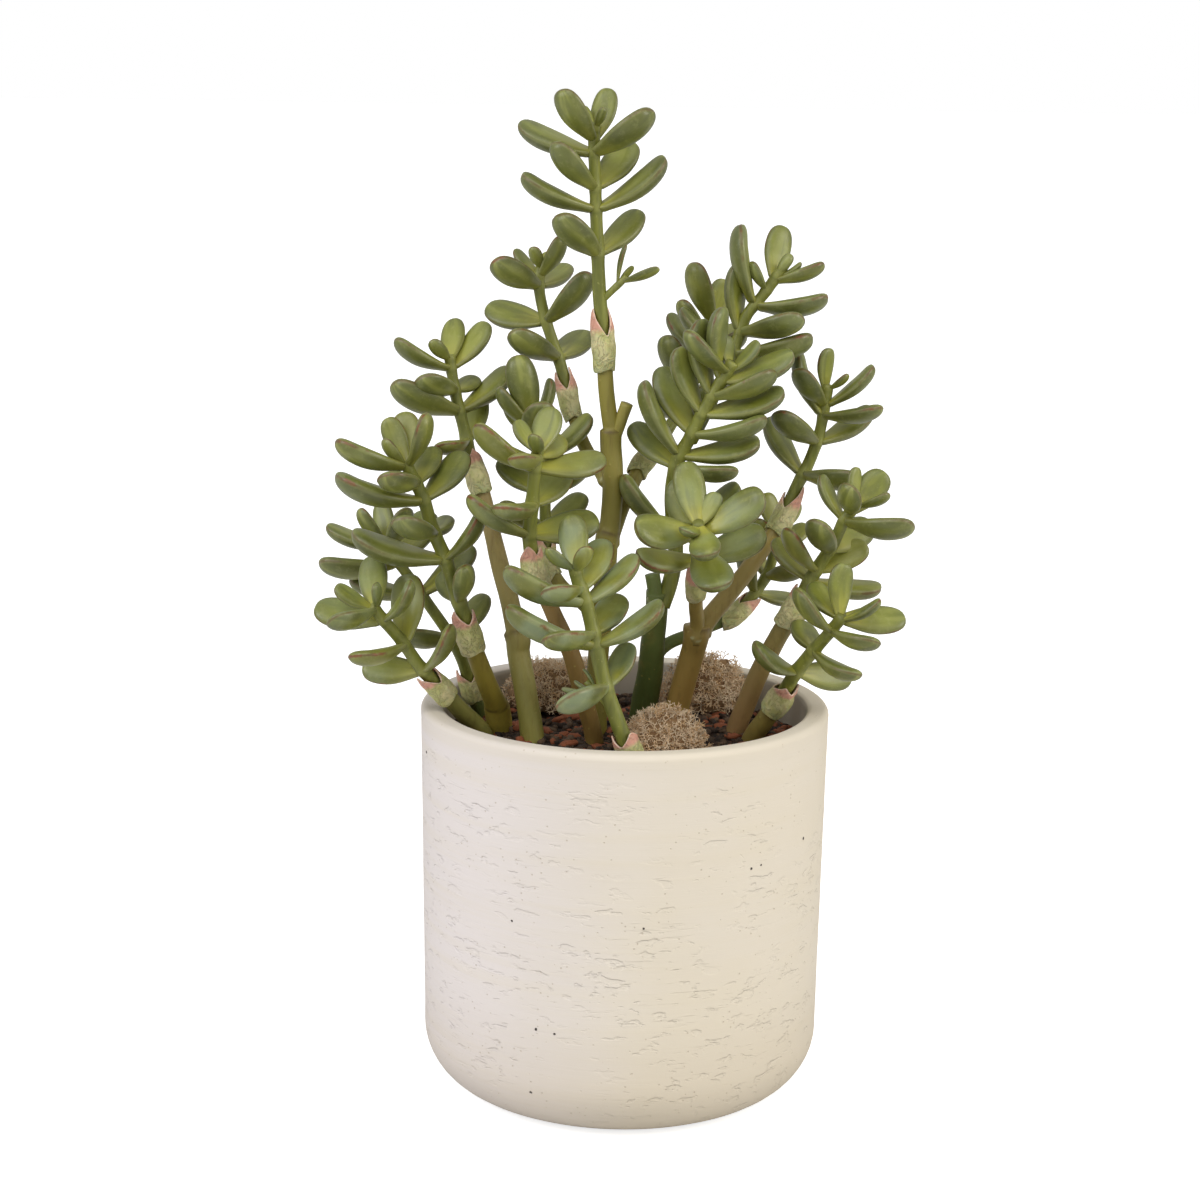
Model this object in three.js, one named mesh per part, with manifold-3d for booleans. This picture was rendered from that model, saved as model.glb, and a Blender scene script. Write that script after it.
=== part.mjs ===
// Potted jade plant: a straight cream planter filled with bark soil, with thick woody canes standing in it.
// Each leafy sprig is plugged into a cane, and a petal-like sheath wraps each plug.
// Millimetres, +Z up, +X to the right and -Y to the front, with the origin at the centre of the pot's underside.
import * as THREE from "three";
import { mergeVertices } from "three/addons/utils/BufferGeometryUtils.js";
import Module from "manifold-3d";

const wasm = await Module();
wasm.setup();

// Pot
const POT_RIM_RADIUS = 80;
const POT_FOOT_RADIUS = 78;
const POT_HEIGHT = 154;
const POT_WALL = 9;
const POT_FLOOR = 11;
const POT_CORNER = 23.5;
const POT_INNER_CORNER = 16;
const POT_INNER_TAPER = 1;
const RIM_ROUND = 2.6;
const POT_SIDES = 36;

// Soil and moss
const SOIL_TOP = 139.5;
const SOIL_RELIEF = 1.2;
const SOIL_LUMP = 8;
const SOIL_RINGS = [1, 0.78, 0.54, 0.28];
const MOSS_ROOT = 2;
const MOSS_RELIEF = 0.09;
const MOSS_SIDES = 12;

// The space left between pieces that touch, and how far a hole runs on past the end of what stands in it
const GAP = 0.35;
const SOIL_GAP = 0.5;
const HOLE_END = 1.5;

// Canes, stems and sheaths
const CANE_SIDES = 8;
const STEM_SIDES = 6;
const SHEATH_SIDES = 8;
const SHEATH_GAP = 0.5;
const SHEATH_WALL = 0.9;
const SHEATH_BELOW = 8;
const SHEATH_ABOVE = 5;
const LOBES = [[200, 10], [20, 9]];
const LOBE_SPREAD = 88;
const LOBE_LEAN = 5;

// Leaves
const LEAF_RINGS = 4;
const LEAF_WIDTH = 0.52;
const LEAF_THICKNESS = 0.27;
const LEAF_SPREAD = 0.1;
const LENGTH_SPREAD = 0.04;
const LEAF_SAG = 0.05;
const LEAF_ROLL = 12;
const LEAF_FACING = 0.9;
const PETIOLE = 0.38;
const BROADEST = 0.6;
const ROOT_POWER = 1.4;
const TIP_POWER = 2.6;
const UPPER_SHARE = 0.4;
const TIP_ROOM = 1.5;
const ROOT_OFFSET = 0.3;

const MATERIALS = {
  pot: new THREE.MeshStandardMaterial({ color: 0xe6dccb, roughness: 0.85, metalness: 0 }),
  soil: new THREE.MeshStandardMaterial({ color: 0x3b2a22, roughness: 0.95, metalness: 0 }),
  moss: new THREE.MeshStandardMaterial({ color: 0xa9875c, roughness: 0.95, metalness: 0 }),
  cane: new THREE.MeshStandardMaterial({ color: 0x6e6226, roughness: 0.6, metalness: 0 }),
  leaf: new THREE.MeshStandardMaterial({ color: 0x5b7636, roughness: 0.45, metalness: 0 }),
  sheath: new THREE.MeshStandardMaterial({ color: 0xc9b98c, roughness: 0.8, metalness: 0 }),
};

// A cane is a trunk and the branches that grew from it, all one piece.
// Each run is a list of stations [x, y, z, radius], from its foot in the soil, or inside the trunk, to its end.
const CANES = {
  cane_middle: [
    [[-11, 5, 114, 4.2], [-11, 6, 139, 4.2], [-11, 6, 165, 4.1], [-9, 6, 192, 4.1], [-8, 6, 214, 4.3],
      [-8, 6, 218, 4.6], [-7, 7, 222, 4.1], [-6, 7, 241, 4.0], [-7, 8, 255, 4.2], [-7, 8, 260, 4.4],
      [-7, 8, 261, 3.2], [-9, 7, 275, 3.1], [-10, 6, 291, 3.0]],
    [[-7, 8, 252, 2.0], [-4, 7, 262, 2.4], [-1, 6, 271, 2.4]],
    [[-7, 8, 238, 2.4], [-13, 13, 246, 2.6], [-18, 18, 254, 2.6], [-22.4, 22.4, 266, 2.6]],
    [[-8, 7, 213, 3.2], [-3, 13, 227, 3.1], [2, 20, 238, 3.0], [4.6, 23.2, 243, 3.0]],
    [[-10, 5, 184, 2.4], [-18, 4, 193, 2.6], [-25, 3, 199, 2.6], [-30.5, 3, 207, 2.6]],
  ],
  cane_left_high: [
    [[-33, -9, 114, 4.7], [-36, -7, 141, 4.6], [-39, -4, 159, 4.5], [-42, 0, 174, 4.4], [-42, 0, 178, 4.9],
      [-43, 0, 181, 4.8], [-43, 0, 182, 4.0], [-46, 2, 195, 3.8], [-50, 4, 209, 3.5], [-54, 6, 225, 3.2],
      [-57.9, 8.3, 238.7, 3.1]],
  ],
  cane_left: [
    [[-46, 11, 116, 4.4], [-49, 6, 139, 4.6], [-49.5, 5, 144, 5.2], [-50.3, 3, 150, 5.2], [-51.4, 0, 154, 4.3],
      [-54, -5, 162, 3.9], [-60, -13.4, 181, 3.4]],
  ],
  cane_left_low: [
    [[-52, 2, 120, 3.7], [-55, -1, 139, 3.7], [-58.5, -6, 145.5, 3.7], [-63, -13, 152, 3.6], [-67, -18, 158, 3.4],
      [-70, -21, 162.5, 3.2]],
  ],
  cane_left_back: [
    [[-54, 31, 118, 2.9], [-56.5, 28, 138, 2.9], [-60.8, 20.2, 150.5, 2.8]],
  ],
  cane_front_left: [
    [[-8, -8, 114, 3.6], [-12, -13, 143, 3.6], [-17, -18, 163, 3.5], [-21, -22, 178, 3.4], [-28, -27, 195, 3.2],
      [-34, -30, 209, 3.0]],
  ],
  cane_front: [
    [[8, -50, 116, 3.7], [5, -54.5, 136, 3.6], [2.6, -57.5, 146, 3.5]],
  ],
  cane_fork: [
    [[19, 23, 114, 5.0], [21, 21, 144, 4.9], [24, 18, 159, 4.8], [27, 14, 172, 4.8], [28, 11, 178, 5.2],
      [28, 10, 181, 5.5], [28, 10, 183, 5.2]],
    [[28, 9, 176, 2.6], [28, 6, 185, 2.9], [27, 0, 193, 2.8], [27, -5, 199, 2.7]],
    [[28, 11, 177, 3.4], [32, 12, 184, 3.8], [45, 16, 200, 3.5], [55, 20, 214, 3.3], [60, 22, 221, 3.2]],
  ],
  cane_right_middle: [
    [[38, 17, 116, 4.0], [44, 10, 139, 4.0], [53, 4, 166, 3.9], [59, 0, 180, 3.7], [64, -3, 190, 3.5]],
  ],
  cane_right_low: [
    [[45, 4, 118, 4.0], [50, -1, 139, 3.9], [55, -6, 149, 3.8], [59.5, -10, 157, 3.6]],
  ],
};

// A sprig is a stem [x, y, z] from its plug to its tip, with leaves in opposite pairs, each turned from the last.
// A pair is [distance along the stem, leaf length, turn of the first leaf, splay of the first, splay of the second],
// where the length or the turn may be two, for a first leaf and a second that differ. One splay makes a lone leaf.
// Turn is in degrees about the stem: 0 points to the right, 90 to the back, 180 to the left and 270 to the front.
// "on" names the cane and the run of it that the sprig is plugged into, and "below" how far its sheath reaches down.
// "lobes" are the sheath's pointed lobes, each [turn, lift above the sleeve], and "slim" thins a shoot's leaves.
// "facing" is how far the leaves turn their broad faces to the front.
const SPRIGS = {
  crown: {
    on: ["cane_middle", 0],
    lobes: [[205, 12], [20, 12]],
    stem: [[-10, 6, 292], [-12, 5, 311], [-13, 4, 328], [-14, 3, 347], [-15, 2, 368], [-15, 2, 378]],
    radius: [2.8, 2.0],
    pairs: [[37, 27, 229, 49, 60], [54, 31, 184, 61, 57], [62, [27, 26], 227, 47, 53],
      [75, [31, 29], [157, 333], 69, 54], [80, [24, 21], [226, 62], 44, 28], [84, [10, 9], [135, 309], 36, 32]],
    shoots: [{
      stem: [[-12, 5, 310], [-7, 4, 315], [-2, 3, 320]],
      radius: [1.5, 1.2],
      slim: 0.6,
      pairs: [[10, [15, 9], [160, 105], 34, 12], [12, 16, 307, 26]],
    }],
  },
  crown_left: {
    on: ["cane_middle", 2],
    lobes: [[195, 10], [350, 11]],
    below: 4.5,
    stem: [[-22.9, 22.7, 267.3], [-25, 24, 276], [-28, 26, 286], [-33, 28, 300], [-36, 30, 314], [-35, 31, 322]],
    radius: [2.5, 2.0],
    pairs: [[20, 27, [236, 60], 60, 72], [35, [28, 27], 147, 65, 62], [49, [26, 24], [229, 63], 68, 69],
      [53, [15, 19], [150, 309], 54, 31], [56, [11, 9], [245, 78], 51, 40]],
  },
  left_high: {
    on: ["cane_left_high", 0],
    lobes: [[195, 6], [305, 7]],
    below: 4.5,
    stem: [[-58.4, 8.6, 240.5], [-62, 10, 251], [-64, 11, 259], [-67, 12, 271], [-69, 13, 281], [-70, 13, 288]],
    radius: [2.6, 2.0],
    pairs: [[15.4, [22, 24], 247, 87, 49], [27.4, [30, 29], 218, 58, 67], [35.4, [24, 17], 242, 71, 77],
      [44.4, [25, 23], [204, 39], 56, 54], [48.4, [13, 22], [239, 84], 46, 52]],
  },
  left: {
    on: ["cane_left", 0],
    lobes: [[225, 9], [0, 7]],
    below: 5,
    stem: [[-60.3, -13.7, 182.3], [-63, -17, 193], [-66, -20, 203], [-69, -23, 214], [-74, -26, 227], [-77, -28, 238],
      [-81, -30, 247], [-84, -31, 253]],
    radius: [3.1, 2.2],
    pairs: [[16.5, 20, [315, 110], 31, 78], [35.5, [36, 26], [193, 347], 51, 52], [46.5, [27, 20], [256, 84], 50, 100],
      [60.5, [35, 26], [192, 50], 52, 77], [67.5, [25, 22], [260, 73], 54, 81],
      [75.5, [28, 23], [203, 348], 42, 47], [77.5, 19, 91, 28], [78.5, [14, 22], [228, 74], 9, 50]],
  },
  left_low: {
    on: ["cane_left_low", 0],
    lobes: [[235, 8], [60, 7]],
    below: 4.5,
    stem: [[-70.6, -21.5, 163.3], [-74, -24, 167.5], [-79, -27, 174], [-85, -31, 184], [-91, -34, 192],
      [-96, -36, 199]],
    radius: [2.8, 2.1],
    pairs: [[12, 25, [163, 350], 67, 60], [26, [26, 28], [239, 66], 55, 55], [39, [27, 22], [158, 346], 54, 66],
      [45, 24, [246, 80], 60, 64], [46, [17, 11], [158, 347], 27, 34]],
  },
  left_back: {
    on: ["cane_left_back", 0],
    below: 2.5,
    lobes: [[200, 6], [20, 5]],
    stem: [[-61, 19.8, 152], [-62.2, 19.4, 156.5], [-65, 17, 166], [-70, 14, 177], [-77, 12, 188], [-83, 11, 197],
      [-90, 10, 207], [-95, 10, 215]],
    radius: [2.6, 2.0],
    pairs: [[25.5, 24, 230, 49, 82], [47.5, [29, 27], [181, 24], 42, 83], [63.5, [32, 28], [207, 50], 56, 75],
      [70.5, [25, 22], [165, 321], 42, 60], [72.5, [17, 18], [224, 68], 3, 39]],
  },
  front_left: {
    on: ["cane_front_left", 0],
    lobes: [[262, 8], [345, 6]],
    stem: [[-35, -31, 211], [-37, -33, 225], [-36, -35, 240], [-35, -37, 253], [-34, -38, 260]],
    radius: [2.9, 2.1],
    pairs: [[16, 28, [200, 27], 54, 84], [28, [27, 26], 246, 77, 73], [42, [29, 28], [197, 30], 56, 85],
      [47, [24, 20], [252, 61], 77, 80], [50, [12, 20], 259, 45, 48], [51, 15, 139, 54]],
  },
  middle_back: {
    on: ["cane_middle", 4],
    below: 5,
    stem: [[-31.4, 3, 208.3], [-32, 4, 222], [-32.5, 5, 238], [-35, 6, 253], [-38, 7, 265]],
    radius: [2.4, 1.9],
    pairs: [[14, 24, 225, 60, 60], [28, 24, 325, 60, 60], [41, 25, 186, 58, 58], [51, 25, 285, 60, 54],
      [54, 20, 200, 28, 34], [56, 26, 276, 10]],
  },
  front: {
    on: ["cane_front", 0],
    lobes: [[320, 6], [180, 6]],
    below: 3.5,
    stem: [[2.2, -57.8, 147.2], [0, -58.5, 153], [-3, -59, 161], [-8, -59, 175], [-11.5, -58, 190], [-15.5, -57, 206],
      [-18.5, -57, 214], [-20, -57, 220]],
    radius: [3.2, 2.3],
    pairs: [[29, [28, 22], [236, 52], 81, 61], [45.5, [35, 29], [190, 2], 54, 70], [50, 27, [236, 64], 79, 71],
      [62, [33, 26], [191, 31], 51, 71], [67, [22, 26], 242, 69, 68], [74, [14, 23], [307, 82], 46, 38],
      [76, 14, 220, 43]],
    shoots: [{
      stem: [[-3, -59, 162], [-9, -58, 170], [-15, -57, 176]],
      radius: [1.5, 1.2],
      slim: 0.6,
      pairs: [[12, [14, 10], [183, 175], 36, 18], [14, 9, 8, 14]],
    }],
  },
  right_high: {
    wood: [
      [[5, 27, 114, 5.5], [8, 24, 145, 5.5], [10, 20, 160, 5.2], [11, 14, 176, 4.8], [12, 9, 190, 4.4],
        [12, 7, 197, 4.3]],
      [[12, 7, 190, 3.0], [11, 6, 198, 2.9], [10, 6, 204, 2.9]],
      [[10, 18, 166, 2.4], [17, 23, 172, 2.6], [25, 26, 175, 2.5], [34, 30, 178, 2.5], [42, 32, 181, 2.5]],
    ],
    stem: [[14, 7, 191], [17, 8, 200], [19, 8, 213], [17, 5, 234], [19, 2, 250], [24, 0, 260], [29, -2, 271],
      [35, -4, 282], [39, -5, 289]],
    radius: [3.3, 2.2],
    facing: 1.6,
    pairs: [[30, [32, 30], 190, 30, 61], [58, 26, [138, 332], 75, 72], [63, 31, [172, 4], 49, 54],
      [73, 29, [133, 343], 65, 49], [82, [27, 31], [167, 5], 46, 48], [90, [29, 27], [155, 340], 42, 37],
      [97, [27, 29], [162, 6], 30, 39], [101, [26, 16], [210, 26], 71, 18], [104, 13, 121, 55]],
    shoots: [{
      stem: [[24, 0, 258], [30, 10, 268], [36, 16, 280], [42, 20, 295], [45, 20, 304], [51, 20, 312], [56, 20, 319],
        [60, 20, 325]],
      radius: [2.6, 2.0],
      facing: 1.6,
      pairs: [[41, [26, 31], [165, 352], 70, 59], [50, 27, [160, 324], 17, 61], [62, [31, 29], 175, 49, 45],
        [69, 13, 203, 66], [74, [23, 20], [121, 340], 39, 34], [76, 10, [240, 4], 2, 25]],
    }],
  },
  right_inner: {
    on: ["cane_middle", 3],
    lobes: [[195, 9], [20, 6]],
    below: 3.5,
    stem: [[5.4, 24.2, 244.2], [11, 29, 250], [17, 35, 259], [24, 41, 271], [30, 45, 286], [34, 48, 300]],
    radius: [2.6, 2.0],
    pairs: [[26, [24, 20], [137, 302], 68, 57], [39, [25, 20], 218, 59, 52], [53, [24, 20], [151, 324], 56, 49],
      [60, 20, [213, 49], 59, 58], [67, [25, 18], [218, 108], 41, 6], [69, 13, 163, 14]],
  },
  rosette: {
    on: ["cane_fork", 1],
    below: 3,
    stem: [[27, -5.4, 200], [27, -12, 210], [27, -24, 222], [26, -36, 232]],
    radius: [2.6, 2.0],
    pairs: [[19, 27, 200, 62, 78], [28, 29, 105, 76, 62], [39, 28, 195, 58, 60], [44, 25, 100, 78, 54],
      [46, 14, 60, 80, 40]],
  },
  far_right: {
    on: ["cane_fork", 2],
    below: 4,
    lobes: [[335, 12], [170, 7]],
    stem: [[60.8, 22.3, 222.4], [67, 24, 237], [71, 25, 245], [75, 25, 257], [77, 25, 269], [78, 25, 277]],
    radius: [2.6, 2.0],
    pairs: [[21, [27, 26], [154, 322], 60, 68], [35, 26, [218, 24], 70, 47], [46, [27, 25], [168, 324], 31, 72],
      [50, [22, 23], [219, 0], 51, 39], [55, 17, 126, 9], [57, 10, 326, 46]],
  },
  right_middle: {
    on: ["cane_right_middle", 0],
    lobes: [[190, 7], [20, 6]],
    below: 5,
    stem: [[65, -3.4, 191.4], [70, -5, 203], [74, -7, 211], [79, -9, 220], [83, -11, 230], [88, -12, 237]],
    radius: [2.8, 2.1],
    pairs: [[15, [24, 28], [126, 353], 83, 66], [20, [24, 22], [201, 25], 60, 44], [30, [27, 26], 234, 60, 66],
      [43, [20, 28], [142, 329], 61, 61], [47, [20, 22], [236, 70], 57, 30], [52, 14, 143, 41, 28]],
  },
  right_low: {
    on: ["cane_right_low", 0],
    lobes: [[250, 6], [350, 7]],
    below: 5,
    stem: [[60.2, -11, 158.3], [65, -20, 171], [71, -28, 182], [76, -34, 190], [81, -38, 198]],
    radius: [2.9, 2.1],
    pairs: [[18, [26, 24], [191, 15], 61, 96], [32, [25, 23], [298, 87], 57, 114],
      [45, [25, 24], [188, 298], 61, 50], [51, [25, 22], [17, 112], 73, 100], [54, [21, 17], [120, 339], 44, 21]],
  },
  right_back: {
    on: ["right_high", 2],
    lobes: [[340, 9], [160, 8]],
    below: 4.5,
    stem: [[43.2, 32.3, 181.5], [50, 36, 188], [57, 38, 198], [60, 38, 210], [61, 38, 218]],
    radius: [2.4, 1.9],
    pairs: [[14, 20, 35, 60, 58], [22, 19, 125, 60, 58], [34, 18, 40, 56, 46], [41, 16, 130, 34, 30]],
  },
};

// Moss clumps: centre [x, y], radius across and height above the soil
const MOSS = {
  moss_front: { centre: [15, -24], across: [17, 15], height: 19 },
  moss_left: { centre: [-28, 44], across: [23, 15], height: 21 },
  moss_right: { centre: [33, 45], across: [19, 14], height: 25 },
};

// A closed three.js geometry as a solid that can be joined and cut
function solidOf(geometry) {
  const plain = geometry.clone();
  plain.deleteAttribute("normal");
  plain.deleteAttribute("uv");
  const merged = mergeVertices(plain, 1e-4);
  return new wasm.Manifold(new wasm.Mesh({
    numProp: 3,
    vertProperties: merged.attributes.position.array,
    triVerts: new Uint32Array(merged.index.array),
  }));
}

function join(solids) {
  return solids.reduce((whole, next) => whole.add(next));
}

// A solid as a named mesh
function meshOf(name, solid, material) {
  const mesh = solid.getMesh();
  const positions = new Float32Array(mesh.numVert * 3);
  for (let i = 0; i < mesh.numVert; i++) {
    positions.set(mesh.vertProperties.subarray(i * mesh.numProp, i * mesh.numProp + 3), i * 3);
  }
  const geometry = new THREE.BufferGeometry();
  geometry.setAttribute("position", new THREE.BufferAttribute(positions, 3));
  geometry.setIndex(new THREE.BufferAttribute(mesh.triVerts, 1));
  geometry.computeVertexNormals();
  const made = new THREE.Mesh(geometry, material);
  made.name = name;
  return made;
}

// A profile of [radius, height] points turned about +Z
function turned(profile, sides) {
  const points = profile.map(([radius, height]) => new THREE.Vector2(radius, height));
  return new THREE.LatheGeometry(points, sides).rotateX(Math.PI / 2);
}

// Points on an arc in a profile, from one angle to another in degrees
function arc(radius, height, size, from, to, steps) {
  return Array.from({ length: steps + 1 }, (_, i) => {
    const angle = THREE.MathUtils.degToRad(from + ((to - from) * i) / steps);
    return [radius + size * Math.cos(angle), height + size * Math.sin(angle)];
  });
}

function curveOf(stations) {
  return new THREE.CatmullRomCurve3(stations.map(([x, y, z]) => new THREE.Vector3(x, y, z)));
}

// A point, a tangent and two normals at each station of a curve, with no twist along it
function framesAlong(curve, steps) {
  const side = new THREE.Vector3(1, 0, 0);
  return Array.from({ length: steps + 1 }, (_, i) => {
    const tangent = curve.getTangent(i / steps);
    side.addScaledVector(tangent, -side.dot(tangent)).normalize();
    return {
      point: curve.getPoint(i / steps),
      side: side.clone(),
      front: new THREE.Vector3().crossVectors(side, tangent),
    };
  });
}

// A cylinder bent along stations [x, y, z, radius]
function bentTube(stations, sides) {
  const steps = stations.length - 1;
  const frames = framesAlong(curveOf(stations), steps);
  const tube = new THREE.CylinderGeometry(1, 1, 1, sides, steps);
  const corner = tube.attributes.position;
  for (let i = 0; i < corner.count; i++) {
    const ring = Math.round((corner.getY(i) + 0.5) * steps);
    const { point, side, front } = frames[ring];
    const moved = point.clone()
      .addScaledVector(side, corner.getX(i) * stations[ring][3])
      .addScaledVector(front, corner.getZ(i) * stations[ring][3]);
    corner.setXYZ(i, moved.x, moved.y, moved.z);
  }
  return solidOf(tube);
}

// The room that a tube needs in what it stands in: a little wider, and drawn out past both of its ends
function roomFor(stations, sides) {
  const beyond = (end, before) => {
    const point = new THREE.Vector3(...end);
    const outwards = point.clone().sub(new THREE.Vector3(...before)).normalize();
    return [...point.addScaledVector(outwards, HOLE_END), end[3]];
  };
  const long = [beyond(stations[0], stations[1]), ...stations, beyond(stations.at(-1), stations.at(-2))];
  return bentTube(long.map(([x, y, z, radius]) => [x, y, z, radius + GAP]), sides);
}

// Half the width of a leaf at t, as a share of the most: a narrow root, broadest past the middle, a blunt tip
function leafOutline(t) {
  if (t < BROADEST) {
    return PETIOLE + (1 - PETIOLE) * Math.sin((Math.PI / 2) * (t / BROADEST)) ** ROOT_POWER;
  }
  const fall = (t - BROADEST) / (1 - BROADEST);
  return Math.max(0, 1 - fall ** TIP_POWER) ** (1 / TIP_POWER);
}

// A plump leaf with sharp edges: a sphere with four sides drawn out along a direction, its middle bent down by sag
function leafSolid({ root, direction, up, length, width, thickness, sag }) {
  const across = new THREE.Vector3().crossVectors(up, direction);
  const ball = new THREE.SphereGeometry(1, 4, LEAF_RINGS);
  const corner = ball.attributes.position;
  for (let i = 0; i < corner.count; i++) {
    const t = (1 - corner.getY(i)) / 2;
    const ring = Math.hypot(corner.getX(i), corner.getZ(i));
    const isPole = ring < 1e-6;
    const share = isPole ? 0 : leafOutline(t) / ring;
    const sideways = corner.getX(i) * share;
    const deep = corner.getZ(i) * share * thickness;
    const height = deep * (deep > 0 ? UPPER_SHARE : 1 - UPPER_SHARE);
    const moved = root.clone()
      .addScaledVector(direction, t * length)
      .addScaledVector(across, (sideways * width) / 2)
      .addScaledVector(up, height - 4 * sag * t * (1 - t));
    corner.setXYZ(i, moved.x, moved.y, moved.z);
  }
  return solidOf(ball);
}

// The directions of something that stands out of a stem: turned about it, and splayed from it, both in degrees
function splayed(tangent, turn, splay) {
  const side = new THREE.Vector3(1, 0, 0);
  side.addScaledVector(tangent, -side.dot(tangent)).normalize();
  const back = new THREE.Vector3().crossVectors(tangent, side);
  const angle = THREE.MathUtils.degToRad(turn);
  const tilt = THREE.MathUtils.degToRad(splay);
  const away = side.multiplyScalar(Math.cos(angle)).addScaledVector(back, Math.sin(angle));
  return {
    away,
    direction: tangent.clone().multiplyScalar(Math.cos(tilt)).addScaledVector(away, Math.sin(tilt)),
    up: tangent.clone().multiplyScalar(Math.sin(tilt)).addScaledVector(away, -Math.cos(tilt)),
  };
}

const TO_FRONT = new THREE.Vector3(0, -1, 0);

// A share from -1 to 1 that differs from leaf to leaf and is the same each time
function vary(index) {
  const golden = 0.6180339887;
  return 2 * ((index * golden) % 1) - 1;
}

// The leaves of one stem, in opposite pairs. Those in front of the stem are rolled to show their undersides to the
// front, and those behind it their upper sides.
function leavesOf({ stem, radius, pairs, slim = 1, facing = LEAF_FACING }, seed) {
  const curve = curveOf(stem);
  const reach = curve.getLength();
  return pairs.flatMap(([distance, length, turn, ...splays], pair) => {
    const [first, second = first] = [length].flat();
    const [turned, opposite = turned + 180] = [turn].flat();
    const u = Math.min(distance, reach - TIP_ROOM) / reach;
    const point = curve.getPointAt(u);
    const tangent = curve.getTangentAt(u);
    return splays.map((splay, leaf) => {
      const { away, direction, up } = splayed(tangent, leaf ? opposite : turned, splay);
      const index = seed + 2 * pair + leaf;
      const size = leaf ? second : first;
      const viewer = TO_FRONT.clone().addScaledVector(direction, -TO_FRONT.dot(direction));
      const share = Math.min(1, facing * Math.sin(THREE.MathUtils.degToRad(splay)) ** 2);
      up.addScaledVector(viewer, -share * away.dot(TO_FRONT)).normalize();
      up.applyAxisAngle(direction, THREE.MathUtils.degToRad(LEAF_ROLL * vary(7 * index + 3)));
      return leafSolid({
        root: point.clone().addScaledVector(away, ROOT_OFFSET * radius[1]),
        direction,
        up,
        length: size * (1 + LENGTH_SPREAD * vary(index)),
        width: size * LEAF_WIDTH * slim * (1 + LEAF_SPREAD * vary(3 * index + 1)),
        thickness: size * LEAF_THICKNESS * slim,
        sag: size * LEAF_SAG,
      });
    });
  });
}

// A stem narrows from its plug to its tip
function stemStations({ stem, radius }) {
  const last = stem.length - 1;
  return stem.map((point, i) => [...point, radius[0] + ((radius[1] - radius[0]) * i) / last]);
}

function sprigSolid(sprig, seed) {
  const pieces = (sprig.wood ?? []).map((run) => bentTube(run, CANE_SIDES));
  pieces.push(bentTube(stemStations(sprig), STEM_SIDES), ...leavesOf(sprig, seed));
  for (const shoot of sprig.shoots ?? []) {
    pieces.push(bentTube(stemStations(shoot), STEM_SIDES), ...leavesOf(shoot, seed + 40));
  }
  return join(pieces);
}

// A pot with a flat foot, a rounded corner, a nearly straight wall and a soft rim
function potSolid() {
  const inner = POT_RIM_RADIUS - POT_WALL;
  const floor = POT_FLOOR + POT_INNER_CORNER;
  const profile = [
    [0, 0],
    ...arc(POT_FOOT_RADIUS - POT_CORNER, POT_CORNER, POT_CORNER, -90, 0, 5),
    ...arc(POT_RIM_RADIUS - RIM_ROUND, POT_HEIGHT - RIM_ROUND, RIM_ROUND, 0, 90, 2),
    ...arc(inner + RIM_ROUND, POT_HEIGHT - RIM_ROUND, RIM_ROUND, 90, 180, 2),
    ...arc(inner - POT_INNER_TAPER - POT_INNER_CORNER, floor, POT_INNER_CORNER, 0, -90, 3),
    [0, POT_FLOOR],
  ];
  return solidOf(turned(profile, POT_SIDES));
}

// Rise and fall of the soil and the moss at a place
function bumps(x, y, size) {
  return Math.sin(x / size + 1.3 * Math.sin(y / size)) * Math.cos(y / size - 0.7 * Math.sin(x / size));
}

// The soil fills the pot to just below the rim, and its top is uneven
function soilSolid(lift) {
  const wide = POT_RIM_RADIUS - POT_WALL - SOIL_GAP;
  const corner = POT_INNER_CORNER;
  const profile = [
    [0, POT_FLOOR + GAP],
    ...arc(wide - POT_INNER_TAPER - corner, POT_FLOOR + corner + GAP, corner, -90, 0, 3),
    ...SOIL_RINGS.map((share) => [wide * share, SOIL_TOP]),
    [0, SOIL_TOP],
  ];
  const body = turned(profile, POT_SIDES);
  const corners = body.attributes.position;
  for (let i = 0; i < corners.count; i++) {
    if (corners.getZ(i) > SOIL_TOP - 0.01) {
      corners.setZ(i, SOIL_TOP + lift + SOIL_RELIEF * bumps(corners.getX(i), corners.getY(i), SOIL_LUMP));
    }
  }
  return solidOf(body);
}

// The space inside the pot's wall, carried up past the rim
function insideOfPot() {
  const wide = POT_RIM_RADIUS - POT_WALL - 2 * SOIL_GAP;
  return solidOf(turned([[0, POT_HEIGHT / 2], [wide, POT_HEIGHT / 2], [wide, 2 * POT_HEIGHT], [0, 2 * POT_HEIGHT]],
    POT_SIDES));
}

// A lumpy mound of moss
function mossSolid({ centre, across, height }) {
  const ball = new THREE.SphereGeometry(1, MOSS_SIDES, MOSS_SIDES / 2).rotateX(Math.PI / 2);
  const corner = ball.attributes.position;
  for (let i = 0; i < corner.count; i++) {
    const x = corner.getX(i);
    const y = corner.getY(i);
    const z = corner.getZ(i);
    const lump = 1 + MOSS_RELIEF * bumps(7 * x + centre[0], 7 * y + 5 * z, 1.6);
    corner.setXYZ(i, centre[0] + across[0] * x * lump, centre[1] + across[1] * y * lump,
      SOIL_TOP - MOSS_ROOT + (height + MOSS_ROOT) * z * lump);
  }
  return solidOf(ball);
}

// A point on a curve a number of millimetres from its start, or back from its end
function pointFrom(curve, distance) {
  const share = distance / curve.getLength();
  return curve.getPointAt(share < 0 ? 1 + share : share);
}

// How far the upper edge of a sheath is drawn up into its lobes, at a turn in degrees
function liftAt(turn, lobes) {
  return Math.max(...lobes.map(([at, lift]) => {
    const apart = Math.abs(((turn - at + 540) % 360) - 180);
    return lift * Math.max(0, 1 - apart / LOBE_SPREAD);
  }));
}

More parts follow.
